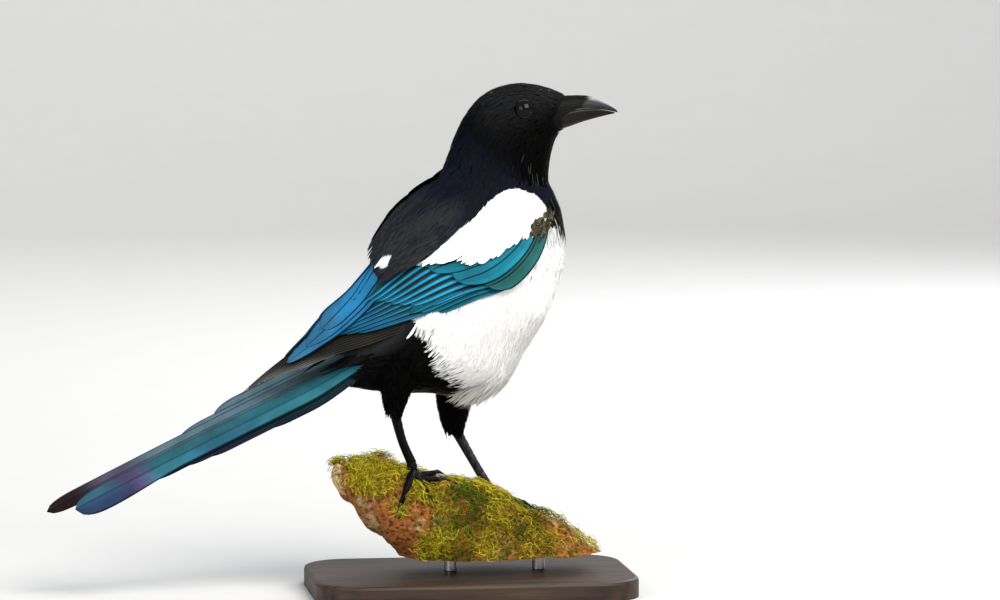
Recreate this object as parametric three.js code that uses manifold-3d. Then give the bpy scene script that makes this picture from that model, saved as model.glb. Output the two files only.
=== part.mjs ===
// A Eurasian magpie at life size, standing on a cut length of mossy limb that a plain display stand holds.
// Millimetres, +Z up. The bird faces +X and its left side is towards +Y. The origin is the middle of the
// base's underside. The bird is about 450 mm from bill tip to tail tip along its own line.
import * as THREE from "three";
import { mergeVertices } from "three/addons/utils/BufferGeometryUtils.js";
import Module from "manifold-3d";

const wasm = await Module();
wasm.setup();

// Driving dimensions
const GAP = 0.35; // room between two parts that touch
const HEAD_YAW = THREE.MathUtils.degToRad(-8); // the head looks a little to the bird's right
const NECK_X = 18; // the upright line that the head turns about
const BODY_SIDES = 26;

const EYE_RADIUS = 6.8;
const EYE_PLACE = { x: 33, z: 292.8, sunk: 5 };
const LID_RADIUS = 5;
const LID_THICK = 0.95;

const TAIL_ROOT = new THREE.Vector3(-50, 0, 150);
const TAIL_TIP = new THREE.Vector3(-254, 0, 50.5);
const TAIL_ROLL = THREE.MathUtils.degToRad(-26); // the tail's right edge hangs lower than its left
const TAIL_DROOP = 1; // how far its middle stands above a straight line
// The tail's feathers on each side, from the middle one to the outermost: their lengths with the root, how far
// their outer edges stand from the midline, and how far the middle one reaches over to the other side. The
// right middle feather lies on top of the left one, which is the longest.
const TAIL_FEATHERS = {
  right: { side: 1, lengths: [212, 190, 168, 146, 132, 92], outers: [20, 20, 20.5, 22, 23.5, 24.5], over: 1 },
  left: { side: -1, lengths: [228, 210, 192, 168, 138, 114], outers: [11.5, 11, 11.5, 14, 19, 27], over: 5 },
};
const TAIL_FLARE = 5; // how much the uppermost feather widens before its tip

const BASE = { length: 196, depth: 124, thick: 12, corner: 26, bevel: 2, middleX: 0 };
const ROD = { radius: 4, xs: [-12, 42] };
const PERCH_CUT_Z = 22; // the limb is sawn level at this height

// Sections of the flesh and its coat, from the bill's base to the tail's root. Each row has the section's
// top x and z, its bottom x and z, its half width, and how much of the head's turn it takes.
const BODY = [
  [60.0, 300.2, 58.8, 282.0, 6.5, 1],
  [53.2, 303.5, 52.6, 275.5, 10.5, 1],
  [44.7, 306.4, 49.6, 267.0, 15, 1],
  [31.2, 308.5, 48.0, 257.4, 18.5, 1],
  [16.5, 305.8, 47.7, 250.7, 20.5, 1],
  [4.9, 298.7, 48.3, 247.0, 21, 0.9],
  [-4.3, 286.6, 49.9, 244.0, 21.2, 0.75],
  [-10.4, 273.3, 51.4, 239.7, 22, 0.55],
  [-15.0, 260.6, 53.9, 233.6, 24, 0.35],
  [-20.2, 249.7, 55.7, 225.0, 27.5, 0.15],
  [-30.6, 241.3, 57.2, 212.8, 31.5, 0.05],
  [-43.5, 229.3, 57.5, 199.5, 34.5, 0],
  [-52.9, 215.4, 53.2, 183.7, 36.5, 0],
  [-60.2, 199.9, 44.7, 164.3, 37, 0],
  [-64.1, 185.0, 32.8, 145.6, 36, 0],
  [-68.2, 172.9, 20.4, 126.1, 32.5, 0],
  [-72.5, 162.8, -3.1, 119.1, 27, 0],
  [-77.8, 154.7, -27.5, 121.6, 21.5, 0],
  [-84.7, 147.4, -53.0, 122.5, 16.5, 0],
  [-92.6, 141.4, -76.4, 126.2, 11, 0],
];
const HEAD_END = 6; // the rows where the head, the neck and the torso end
const NECK_END = 8.6;
const TORSO_END = 17;

// Sections of a folded wing's outer surface, from the wrist to the tips. Each row has the upper edge's x, z
// and distance from the midline, and the lower edge's x, z and distance.
const WING = [
  [-18.0, 251.5, 13, 45.0, 228.5, 30],
  [-31.0, 241.5, 11, 37.0, 206.0, 37],
  [-43.5, 229.5, 9, 21.0, 188.0, 39.5],
  [-53.5, 216.5, 7, -1.0, 180.5, 39.5],
  [-62.5, 202.0, 5, -22.0, 171.5, 37.5],
  [-74.0, 187.5, 3.5, -42.0, 162.5, 33],
  [-88.0, 173.5, 2.5, -64.0, 153.5, 26.5],
  [-101.0, 160.5, 2.5, -86.5, 146.0, 20],
  [-113.5, 149.5, 2.5, -108.5, 136.5, 14.5],
  [-127.0, 139.5, 3, -124.5, 130.0, 11.5],
  [-141.0, 130.0, 5, -140.0, 124.0, 9.5],
];
const WING_ROUND = 0.36; // how far the wing's surface bulges out of flat
const WING_GRID = 1; // the wing's surface is straight from one line to the next
const BEND_LINES = [2, 4, 6, 8]; // every feather of a wing bends along these lines, so that none cross
const VANE = 0.5; // a feather's thickness
const ROOT_SUNK = 0.5; // how far a feather's root lies inside what it grows from
const LAYER = 0.82; // from one feather's back to the next one's under it

// Sections of the limb, from its broken upper end down. Each row has the top x and z, the bottom x and z,
// and the half width.
const LIMB = [
  [-83.5, 76.5, -84.0, 68.0, 9],
  [-78.0, 81.0, -78.0, 57.0, 19],
  [-62.0, 82.0, -64.0, 42.0, 26],
  [-43.0, 78.5, -48.0, 27.0, 29],
  [-19.0, 69.0, -31.0, 4.0, 30],
  [12.0, 60.5, -14.0, -26.0, 31],
  [43.0, 48.0, 12.0, -58.0, 32],
  [74.0, 26.5, 44.0, -86.0, 32],
  [104.0, 4.0, 74.0, -114.0, 31],
];

const COLOURS = {
  black: "#0d0f14",
  white: "#f2efe8",
  blue: "#1d5f93",
  teal: "#2b6670",
  horn: "#2a2a2e",
  eye: "#120c08",
  leg: "#232327",
  bark: "#6f5636",
  stand: "#2b2420",
};

// General helpers

const { lerp, smoothstep } = THREE.MathUtils;

// A table's row at a fractional place, smooth through every row.
function rowAt(rows, place) {
  const last = rows.length - 1;
  const i = Math.min(Math.floor(Math.max(place, 0)), last - 1);
  const f = place - i;
  const row = (k) => rows[Math.min(Math.max(k, 0), last)];
  return row(i).map((_, c) => {
    const [a, b, d, e] = [row(i - 1)[c], row(i)[c], row(i + 1)[c], row(i + 2)[c]];
    return b + 0.5 * f * (d - a + f * (2 * a - 5 * b + 4 * d - e + f * (3 * (b - d) + e - a)));
  });
}

// A closed surface through rings of points, with a fan over each end.
function loft(rings) {
  const count = rings[0].length;
  const middle = (ring) => ring.reduce((sum, p) => sum.add(p), new THREE.Vector3()).divideScalar(ring.length);
  const points = rings.flat();
  const first = points.push(middle(rings[0])) - 1;
  const last = points.push(middle(rings.at(-1))) - 1;
  const index = [];
  rings.slice(1).forEach((_, r) => {
    for (let k = 0; k < count; k++) {
      const [a, b] = [r * count + k, r * count + ((k + 1) % count)];
      index.push(a, b, b + count, a, b + count, a + count);
    }
  });
  const end = (rings.length - 1) * count;
  for (let k = 0; k < count; k++) {
    const next = (k + 1) % count;
    index.push(first, next, k, last, end + k, end + next);
  }
  const geometry = new THREE.BufferGeometry().setFromPoints(points);
  return geometry.setIndex(index);
}

// A closed mesh as a solid for joining and cutting, turned to face out.
function solid(geometry) {
  const bare = geometry.clone();
  bare.deleteAttribute("normal");
  bare.deleteAttribute("uv");
  const merged = mergeVertices(bare, 1e-4);
  const triVerts = new Uint32Array(merged.index.array);
  const vertProperties = merged.attributes.position.array;
  const make = () => new wasm.Manifold(new wasm.Mesh({ numProp: 3, vertProperties, triVerts }));
  const made = make();
  if (made.volume() > 0) return made;
  for (let i = 0; i < triVerts.length; i += 3) [triVerts[i], triVerts[i + 1]] = [triVerts[i + 1], triVerts[i]];
  return make();
}

// The largest closed surface of a solid, without scraps or sealed hollows.
function largest(made) {
  return made.decompose().reduce((best, piece) => (piece.volume() > best.volume() ? piece : best));
}

function union(solids) {
  return solids.reduce((whole, piece) => whole.add(piece));
}

const model = new THREE.Group();
const SIDES = { left: 1, right: -1 };

function addPart(name, made, colour, roughness = 0.6, metalness = 0) {
  const { vertProperties, triVerts } = largest(made).getMesh();
  const geometry = new THREE.BufferGeometry();
  geometry.setAttribute("position", new THREE.BufferAttribute(new Float32Array(vertProperties), 3));
  geometry.setIndex(new THREE.BufferAttribute(new Uint32Array(triVerts), 1));
  const mesh = new THREE.Mesh(geometry, new THREE.MeshStandardMaterial({ color: colour, roughness, metalness }));
  mesh.name = name;
  model.add(mesh);
}

// A point of a section table's surface, at an angle from the section's top, lifted off along its normal.
function sectionPoint(rows, place, angle, lift = 0) {
  const [dx, dz, vx, vz, width, turn = 0] = rowAt(rows, place);
  const half = Math.hypot(dx - vx, dz - vz) / 2;
  const up = ((half + lift) * Math.cos(angle)) / half;
  const point = new THREE.Vector3(
    (dx + vx) / 2 + ((dx - vx) / 2) * up,
    (width + lift) * Math.sin(angle),
    (dz + vz) / 2 + ((dz - vz) / 2) * up,
  );
  return yawed(point, turn);
}

// A point of the head or neck after it takes its share of the head's turn.
function yawed(point, share) {
  const pivot = new THREE.Vector3(NECK_X, 0, 0);
  return point.sub(pivot).applyAxisAngle(new THREE.Vector3(0, 0, 1), HEAD_YAW * share).add(pivot);
}

// A closed body through a section table's rows.
function sectionBody(rows, from, to, step, sides, lift = 0) {
  const rings = [];
  for (let place = from; place < to + step / 2; place += step) {
    rings.push(Array.from({ length: sides }, (_, k) =>
      sectionPoint(rows, Math.min(place, to), (k / sides) * 2 * Math.PI, lift)));
  }
  return solid(loft(rings));
}

// A tapered round tube through points, with one radius for each.
function limbTube(points, radii, sides, rings) {
  const curve = new THREE.CatmullRomCurve3(points);
  const made = Array.from({ length: rings + 1 }, (_, r) => {
    const f = r / rings;
    const centre = curve.getPoint(f);
    const along = curve.getTangent(f);
    const side = new THREE.Vector3(0, 1, 0).cross(along).normalize();
    const out = along.clone().cross(side).normalize();
    const [radius] = rowAt(radii.map((r) => [r]), f * (radii.length - 1));
    return Array.from({ length: sides }, (_, k) => {
      const angle = (k / sides) * 2 * Math.PI;
      return centre.clone()
        .addScaledVector(side, Math.cos(angle) * radius)
        .addScaledVector(out, Math.sin(angle) * radius);
    });
  });
  return solid(loft(made));
}

// Wings

// A place on a row of the wing's outer surface. across runs from 0 at the upper edge to 1 at the lower one.
function wingRowPoint(rowNumber, across, lift) {
  const [tx, tz, ty, lx, lz, ly] = WING[rowNumber];
  const down = new THREE.Vector3(lx - tx, 0, lz - tz);
  const tall = down.length();
  down.normalize();
  const chord = new THREE.Vector2(tall, ly - ty);
  const out = new THREE.Vector2(-chord.y, chord.x).normalize();
  const length = chord.length();
  const bulge = (WING_ROUND * tall * (ly - ty) * (1 - 0.06 * rowNumber)) / length;
  const radius = length ** 2 / (8 * bulge) + bulge / 2;
  const angle = Math.asin(length / (2 * radius)) * (2 * across - 1);
  const spot = chord.clone().multiplyScalar(0.5).addScaledVector(out, bulge - radius)
    .addScaledVector(out, (radius + lift) * Math.cos(angle))
    .addScaledVector(chord.normalize(), (radius + lift) * Math.sin(angle));
  return new THREE.Vector3(tx, ty, tz).addScaledVector(down, spot.x).add(new THREE.Vector3(0, spot.y, 0));
}

// The same at a place between rows: smooth at the grid's lines and straight from line to line.
function wingPoint(side, place, across, lift) {
  const last = WING.length - 1;
  const smooth = (line) => {
    const i = Math.min(Math.floor(line), last - 1);
    const points = [i - 1, i, i + 1, i + 2].map((row) =>
      wingRowPoint(Math.min(Math.max(row, 0), last), across, lift).toArray());
    return new THREE.Vector3(...rowAt(points, 1 + line - i));
  };
  const low = Math.min(Math.floor(place / WING_GRID) * WING_GRID, last - WING_GRID);
  const point = smooth(low).lerp(smooth(low + WING_GRID), (place - low) / WING_GRID);
  return point.setY(point.y * side);
}

// The arm under the feathers: its outer face's lift at a place along the wing, how thick it is, and where
// its upper edge lies across the wing. Towards the rump that edge draws away from the other wing.
const armLift = (place) => -0.4 - 3.8 * smoothstep(place, 0, 1.4) - 3.4 * smoothstep(place, 2.4, 4.3);
const armInner = (place) => armLift(place) - 3.6 + 1.2 * smoothstep(place, 4.6, 6.6);
const armUpper = (place) => 0.02 + 0.3 * smoothstep(place, 3.8, 6.5);
const ARM_END = 6.5;
const ARM_SHARES = [0, 0.2, 0.4, 0.6, 0.8, 1];

// A closed shell along the wing. edges gives its corners across at a place, as pairs of outer and inner lift.
function wingShell(side, from, to, edges) {
  const rings = [];
  for (let line = 0; line <= to + 0.01; line += WING_GRID / 2) {
    const place = Math.max(line, from);
    const corners = edges(place);
    const over = corners.map(([a, outer]) => wingPoint(side, place, a, outer));
    const under = corners.map(([a, , inner]) => wingPoint(side, place, a, inner)).reverse();
    rings.push([...over, ...under]);
  }
  return solid(loft(rings));
}

const armEdges = (place) => ARM_SHARES.map((share) =>
  [lerp(armUpper(place), 0.97, share), armLift(place), armInner(place)]);

// The room for an arm and for the feathers over it, which reach closer to the other wing.
function roomEdges(place) {
  const shallow = Math.max(armInner(place), -6.6) - GAP;
  const deep = ARM_SHARES.map((share) =>
    [lerp(armUpper(place) - 0.02, 1.04, share), 12, armInner(place) - GAP]);
  return [[-0.08, 12, shallow], [armUpper(place) - 0.06, 12, shallow], ...deep];
}

// A thin plate between two like grids of points, split into triangles alike on both faces.
function plate(top, bottom) {
  const wide = top[0].length;
  const under = top.length * wide;
  const index = [];
  const quad = (a, b, c, d) => index.push(a, b, c, a, c, d);
  for (let r = 0; r < top.length - 1; r++) {
    const row = r * wide;
    for (let k = row; k < row + wide - 1; k++) {
      quad(k, k + 1, k + 1 + wide, k + wide);
      index.push(under + k, under + k + 1 + wide, under + k + 1);
      index.push(under + k, under + k + wide, under + k + 1 + wide);
    }
    const edge = row + wide - 1;
    quad(under + row, row, row + wide, under + row + wide);
    quad(edge, under + edge, under + edge + wide, edge + wide);
  }
  const end = under - wide;
  for (let k = 0; k < wide - 1; k++) {
    quad(under + k, under + k + 1, k + 1, k);
    quad(end + k, end + k + 1, under + end + k + 1, under + end + k);
  }
  return solid(new THREE.BufferGeometry().setFromPoints([...top.flat(), ...bottom.flat()]).setIndex(index));
}

// How wide a feather is at a share of its length: full, then rounded off to the tip.
function vaneWidth(share, pointed) {
  const start = pointed ? 0.55 : 0.8;
  const f = Math.max(0, (share - start) / (1 - start));
  return Math.max(0.14, pointed ? 1 - f ** 1.4 : Math.sqrt(1 - f ** 2));
}

// Rows of feathers in a folded wing, laid like roof tiles. Each has the number of feathers, where the first
// and last one's free edges lie across the wing at the roots and at the tips, the roots' place along it, the
// first and last tips' places, the width as so many pitches, and the lift of the row's highest feather.
const TIERS = [
  { name: "primaries", count: 5, at: [0.74, 1.0], to: [0.3, 0.97], root: 4.4, tips: [10, 7.9], wide: 2.2,
    lift: (s) => lerp(-4.9, -2.7, smoothstep(s, 4.9, 6.5)), pointed: true },
  { name: "secondaries", count: 7, at: [0.26, 0.95], to: [0.2, 0.9], root: 3.3, tips: [8.3, 6.2], wide: 1.9,
    lift: (s) => -4.3 + 2.1 * smoothstep(s, 3.3, 5) + 1.9 * smoothstep(s, 5, 6.3) },
  { name: "greater coverts", count: 6, at: [0.64, 0.99], to: [0.66, 0.99], root: 1.5, tips: [3.9, 4.2],
    wide: 1.7, lift: (s) => lerp(-2.1, -0.9, smoothstep(s, 1.9, 3.4)) },
  { name: "median coverts", count: 4, at: [0.8, 0.98], to: [0.82, 0.99], root: 0.3, tips: [1.9, 1.9],
    wide: 1.6, lift: (s) => lerp(-0.2, 0.4, smoothstep(s, 0.3, 1.6)) },
  { name: "long scapulars", count: 3, at: [0.2, 0.42], to: [0.14, 0.34], root: 2.3, tips: [5.5, 4.9],
    wide: 1.6, lift: (s) => -2.2 + 0.6 * smoothstep(s, 2.3, 3.6) + 1.6 * smoothstep(s, 3.6, 5),
    pointed: true },
  { name: "white scapulars", count: 4, at: [0.24, 0.74], to: [0.18, 0.62], root: 1.0, tips: [3.7, 3.2],
    wide: 1.6, lift: (s) => lerp(0.1, 1.6, smoothstep(s, 1.9, 3.2)) },
  { name: "shoulder feathers", count: 4, at: [0.26, 0.74], to: [0.26, 0.74], root: 0.3, tips: [1.9, 1.8],
    wide: 1.5, lift: (s) => lerp(0.4, 2.3, smoothstep(s, 0.3, 1.4)) },
];

// The feathers of one row.
function tierFeathers(side, tier) {
  return Array.from({ length: tier.count }, (_, i) => {
    const share = i / (tier.count - 1);
    const tip = lerp(tier.tips[0], tier.tips[1], share);
    const lines = [tier.root];
    for (const s of BEND_LINES) if (s > tier.root + 0.3 && s < tip - 0.45) lines.push(s);
    const span = tip - lines.at(-1);
    lines.push(tip - 0.42 * span, tip);
    const rows = { top: [], bottom: [] };
    for (const place of lines) {
      const f = (place - tier.root) / (tip - tier.root);
      const reach = smoothstep(place, tier.root, Math.max(...tier.tips));
      const first = lerp(tier.at[0], tier.to[0], reach);
      const last = lerp(tier.at[1], tier.to[1], reach);
      const pitch = (last - first) / (tier.count - 1);
      const edge = lerp(first, last, share);
      const wide = tier.wide * pitch * vaneWidth(f, tier.pointed);
      const shaft = edge - 0.42 * tier.wide * pitch;
      const sunk = tier.lift(tier.root) - armLift(tier.root) + ROOT_SUNK;
      const dive = sunk * (1 - smoothstep(place, tier.root, tier.root + 0.5));
      const thick = lerp(VANE + 0.1, VANE - 0.12, f ** 3);
      const spots = [shaft - 0.58 * wide, shaft - 0.05 * wide, shaft + 0.42 * wide];
      const lifts = spots.map((a) => tier.lift(place) - (LAYER * (edge - a)) / pitch - dive);
      rows.top.push(spots.map((a, k) => wingPoint(side, place, a, lifts[k])));
      rows.bottom.push(spots.map((a, k) => wingPoint(side, place, a, lifts[k] - thick)));
    }
    return plate(rows.top, rows.bottom);
  });
}

// The room that a wing takes out of the torso and the tail's base.
const wingRooms = Object.fromEntries(Object.entries(SIDES).map(([name, side]) => [name,
  wingShell(side, 0, 8, roomEdges)]));

// Head, neck and torso

const fleshWhole = sectionBody(BODY, 0, BODY.length - 1, 0.5, BODY_SIDES);
const fleshRoomy = sectionBody(BODY, 0, BODY.length - 1, 0.5, BODY_SIDES, GAP);

// A thin sheet across the body at a row, which parts it.
function parting(place) {
  const [dx, dz, vx, vz] = rowAt(BODY, place);
  const sheet = new THREE.BoxGeometry(200, 200, GAP);
  sheet.rotateY(Math.atan2(dz - vz, vx - dx));
  sheet.translate((dx + vx) / 2, 0, (dz + vz) / 2);
  return solid(sheet);
}

// Bill: each row has x, the culmen's z, the tomium's z, the lower edge's z and the half width.
const BILL = [
  [44, 296.0, 285.2, 277.5, 10.2],
  [52, 298.6, 289.4, 279.6, 8.9],
  [60, 300.0, 291.4, 282.0, 7.2],
  [68, 300.0, 292.6, 284.9, 5.5],
  [76, 299.1, 292.7, 287.2, 3.9],
  [83, 296.4, 291.9, 289.0, 2.3],
  [87.6, 293.4, 290.9, 290.0, 1.1],
  [89.4, 291.4, 290.5, 290.3, 0.5],
];
const BILL_SIDES = 10;

// Half of the bill: an arch from one cutting edge over the ridge to the other, closed straight across.
function mandible(up, endRow, grow = 0) {
  const rings = [];
  for (let place = 0; place <= endRow; place += 0.5) {
    const [x, top, cut, low, width] = rowAt(BILL, place);
    const edge = cut + (up ? GAP / 2 - grow : -GAP / 2 + grow);
    const ridge = up ? top + grow : low - grow;
    const reach = place === 0 ? x - grow : x + (place / endRow) * grow;
    rings.push(Array.from({ length: BILL_SIDES + 1 }, (_, k) => {
      const angle = (k / BILL_SIDES) * Math.PI;
      const y = Math.cos(angle) * (width + grow);
      return yawed(new THREE.Vector3(reach, y, edge + (ridge - edge) * Math.sin(angle) ** 0.85), 1);
    }));
  }
  return solid(loft(rings));
}

function eyeCentre(side) {
  const [, , , , width] = rowAt(BODY, 3.2);
  const out = width * 0.89 - EYE_PLACE.sunk;
  return yawed(new THREE.Vector3(EYE_PLACE.x, side * out, EYE_PLACE.z), 1);
}

function eyeball(side, radius) {
  const ball = new THREE.SphereGeometry(radius, 14, 10);
  ball.rotateX(Math.PI / 2);
  return solid(ball.translate(...eyeCentre(side)));
}

function lidRing(side) {
  const ring = new THREE.TorusGeometry(LID_RADIUS, LID_THICK, 5, 16);
  ring.rotateX((side * Math.PI) / 2).rotateZ(HEAD_YAW + side * -0.12);
  const centre = eyeCentre(side);
  return solid(ring.translate(centre.x, centre.y + side * 4.5, centre.z));
}

const flesh = [HEAD_END, NECK_END, TORSO_END].reduce((whole, place) => whole.subtract(parting(place)), fleshWhole)
  .subtract(union(Object.values(wingRooms)));
const [head, neck, torso, rump] = flesh.decompose()
  .sort((a, b) => b.volume() - a.volume())
  .slice(0, 4)
  .sort((a, b) => b.boundingBox().max[2] - a.boundingBox().max[2]);

let headWhole = head;
for (const side of Object.values(SIDES)) {
  headWhole = headWhole.add(lidRing(side)).subtract(eyeball(side, EYE_RADIUS + GAP));
}
headWhole = headWhole.subtract(mandible(true, 7, GAP)).subtract(mandible(false, 6, GAP));
addPart("head", headWhole, COLOURS.black, 0.8);
addPart("neck", neck, COLOURS.black, 0.7);
addPart("bill_upper", mandible(true, 7), COLOURS.horn, 0.35);
addPart("bill_lower", mandible(false, 6), COLOURS.horn, 0.35);
for (const [name, side] of Object.entries(SIDES)) {
  addPart(`eye_${name}`, eyeball(side, EYE_RADIUS), COLOURS.eye, 0.08);
}

// Tail: twelve graduated feathers and the coverts over their roots, all rooted in the body's end

const TAIL_AXIS = TAIL_TIP.clone().sub(TAIL_ROOT).normalize();
const TAIL_RIGHT = new THREE.Vector3(0, -1, 0).applyAxisAngle(TAIL_AXIS, TAIL_ROLL);
const TAIL_UP = TAIL_AXIS.clone().cross(TAIL_RIGHT).normalize();

// A point of the tail: how far along it, how far to the bird's right, and how far above its mid plane. The
// tail droops a little towards its end.
function tailPoint(along, right, up) {
  const droop = TAIL_DROOP * Math.sin((Math.PI * along) / TAIL_TIP.distanceTo(TAIL_ROOT));
  return TAIL_ROOT.clone()
    .addScaledVector(TAIL_AXIS, along)
    .addScaledVector(TAIL_RIGHT, right)
    .addScaledVector(TAIL_UP, up + droop);
}

// One tail feather, between its inner and outer edges' distances from the tail's midline.
function tailFeather({ from, to, inner, outer, up, lines, pointed = false, flare = 0 }) {
  const rows = { top: [], bottom: [] };
  for (const share of lines) {
    const along = lerp(from, to, share);
    const spread = lerp(0.42, 1, smoothstep(along, 0, 60));
    const shaft = lerp(inner, outer, 0.6) * spread;
    const wide = vaneWidth(share, pointed);
    const thick = lerp(VANE + 0.15, VANE - 0.12, share ** 3);
    const widest = outer + flare * smoothstep(along, 140, 190);
    const spots = [inner, widest].map((x) => shaft + (x * spread - shaft) * wide);
    rows.top.push(spots.map((right) => tailPoint(along, right, up)));
    rows.bottom.push(spots.map((right) => tailPoint(along, right, up - thick)));
  }
  return plate(rows.top, rows.bottom);
}

const TAIL_LINES = [0, 0.3, 0.6, 0.84, 0.96, 1];
const tailFeathers = Object.values(TAIL_FEATHERS).flatMap(({ side, lengths, outers, over }) => (
  lengths.map((length, j) => {
    const middle = j === 0;
    const top = middle && side > 0;
    return tailFeather({
      from: 18,
      to: length,
      inner: side * (middle ? -over : 0.3),
      outer: side * outers[j],
      up: 2.2 - LAYER * (top ? 0 : j + 1),
      flare: top ? TAIL_FLARE : 0,
      lines: TAIL_LINES,
    });
  })
));
const tailCoverts = [-1, 1].flatMap((right) => [
  { from: 20, to: 62, inner: right * 0.3, outer: right * 13, up: 4.0 },
  { from: 20, to: 84, inner: right * 0.3, outer: right * 12, up: 3.1 },
  { from: 22, to: 74, inner: right * 0.3, outer: right * 14, up: -3.6 },
].map((covert) => tailFeather({ ...covert, lines: [0, 0.3, 0.6, 0.85, 1], pointed: true })));
addPart("tail", union([rump, ...tailFeathers, ...tailCoverts]), COLOURS.teal, 0.4, 0.2);
addPart("torso", torso, COLOURS.white, 0.8);

for (const [name, side] of Object.entries(SIDES)) {
  const arm = wingShell(side, 0.05, ARM_END, armEdges);
  const feathers = TIERS.flatMap((tier) => tierFeathers(side, tier));
  addPart(`wing_${name}`, union([arm, ...feathers]), COLOURS.blue, 0.4, 0.2);
}

// Perch

function limbPoint(place, angle, lift = 0) {
  const lumps = 1.6 * Math.sin(place * 2.9 + 1.2 * Math.cos(angle * 2)) + 1.1 * Math.sin(place * 5.3 + angle * 3);
  return sectionPoint(LIMB, place, angle, lift + lumps * Math.min(place, 1));
}

function limb(grow) {
  const rings = [];
  for (let place = 0; place <= LIMB.length - 1; place += 0.25) {
    rings.push(Array.from({ length: 24 }, (_, k) => limbPoint(place, (k / 24) * 2 * Math.PI, grow)));
  }
  const below = new THREE.BoxGeometry(400, 200, 300).translate(0, 0, PERCH_CUT_Z - grow - 150);
  return solid(loft(rings)).subtract(solid(below));
}

addPart("perch", limb(0), COLOURS.bark, 0.9);

// Legs. A toe's row has its length, how far its claw reaches, and where it runs on the limb.

const LEGS = {
  right: {
    side: -1,
    thigh: [[-42, -17, 142], [-47, -17, 126], [-48.5, -16.5, 110.5]],
    thighRadii: [13, 9.5, 5],
    shank: [[-48.2, -16.5, 112], [-43.4, -15, 94], [-37.6, -14, 81]],
    foot: { place: 3.28, angle: -0.5 },
    toes: [[0.62, 0.1], [0.55, 0.32], [0.38, -0.3], [-0.3, -0.85]],
  },
  left: {
    side: 1,
    thigh: [[-4, 17, 137], [-7.5, 17.5, 113], [-7.4, 17, 93.5]],
    thighRadii: [13, 10.5, 5.2],
    shank: [[-6.6, 17, 96], [4, 16, 77], [13.4, 15, 61]],
    foot: { place: 5.1, angle: 0.5 },
    toes: [[0.62, -0.1], [0.5, -0.4], [0.45, 0.3], [-0.5, 0.35]],
  },
};
const TOE_RADIUS = 2.3;
const SHANK_RADII = [3.1, 2.6, 2.8];
const vector = (p) => new THREE.Vector3(...p);

// Points along a toe that lies on the limb, from the foot's middle.
function toePath(foot, [dPlace, dAngle], from, to, radius) {
  return [0, 1 / 3, 2 / 3, 1].map((f) => {
    const share = lerp(from, to, f);
    return limbPoint(foot.place + dPlace * share, foot.angle + dAngle * share, radius + GAP);
  });
}

for (const [name, leg] of Object.entries(LEGS)) {
  const room = limb(GAP);
  const shank = limbTube(leg.shank.map(vector), SHANK_RADII, 10, 8);
  const thigh = limbTube(leg.thigh.map(vector), leg.thighRadii, 16, 8);
  const shankRoom = limbTube(leg.shank.map(vector), SHANK_RADII.map((r) => r + GAP), 10, 8);
  addPart(`thigh_${name}`, thigh.subtract(fleshRoomy).subtract(shankRoom), COLOURS.black, 0.8);
  const toes = leg.toes.map((toe) =>
    limbTube(toePath(leg.foot, toe, 0, 1, TOE_RADIUS), [TOE_RADIUS * 1.15, TOE_RADIUS, TOE_RADIUS * 0.8, 1.3], 7, 4));
  const knuckle = new THREE.SphereGeometry(3.1, 10, 6).translate(...limbPoint(leg.foot.place, leg.foot.angle, 3.4));
  const claws = leg.toes.map((toe) => {
    const path = toePath(leg.foot, toe, 1.02, 1.55, 1.4);
    path[1].z += 0.9;
    return limbTube(path, [1.25, 1.1, 0.7, 0.25], 6, 4).subtract(room);
  });
  const clawRoom = leg.toes.map((toe) => {
    const path = toePath(leg.foot, toe, 1.0, 1.55, 1.4);
    path[1].z += 0.9;
    return limbTube(path, [1.6, 1.45, 1.0, 0.55], 6, 4);
  });
  const foot = union([solid(knuckle), ...toes]).subtract(room).subtract(union(clawRoom));
  addPart(`foot_${name}`, foot.subtract(shankRoom), COLOURS.leg, 0.5);
  addPart(`shank_${name}`, shank.subtract(room), COLOURS.leg, 0.5);
  claws.forEach((claw, i) => addPart(`claw_${name}_${i + 1}`, claw, COLOURS.horn, 0.35));
}

// Display stand

function basePlate() {
  const { length, depth, thick, corner, bevel } = BASE;
  const [x, y] = [length / 2 - bevel, depth / 2 - bevel];
  const outline = new THREE.Shape()
    .moveTo(-x + corner, -y)
    .lineTo(x - corner, -y)
    .absarc(x - corner, -y + corner, corner, -Math.PI / 2, 0)
    .lineTo(x, y - corner)
    .absarc(x - corner, y - corner, corner, 0, Math.PI / 2)
    .lineTo(-x + corner, y)
    .absarc(-x + corner, y - corner, corner, Math.PI / 2, Math.PI)
    .lineTo(-x, -y + corner)
    .absarc(-x + corner, -y + corner, corner, Math.PI, 1.5 * Math.PI);
  const plate = new THREE.ExtrudeGeometry(outline, {
    depth: thick - bevel,
    bevelThickness: bevel,
    bevelSize: bevel,
    bevelSegments: 2,
    curveSegments: 8,
  });
  // The bevel stays on the upper rim only, so that the underside is flat out to its edge.
  const trim = new THREE.BoxGeometry(400, 400, 20).translate(0, 0, -10);
  return solid(plate).subtract(solid(trim)).translate(BASE.middleX, 0, 0);
}

function rod(x) {
  const tall = PERCH_CUT_Z - BASE.thick - 2 * GAP;
  const made = new THREE.CylinderGeometry(ROD.radius, ROD.radius, tall, 20).rotateX(Math.PI / 2);
  return solid(made.translate(x, 0, BASE.thick + GAP + tall / 2));
}

addPart("stand_base", basePlate(), COLOURS.stand, 0.45);
ROD.xs.forEach((x, i) => addPart(`stand_rod_${i + 1}`, rod(x), COLOURS.stand, 0.3, 0.8));

export default model;
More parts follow.
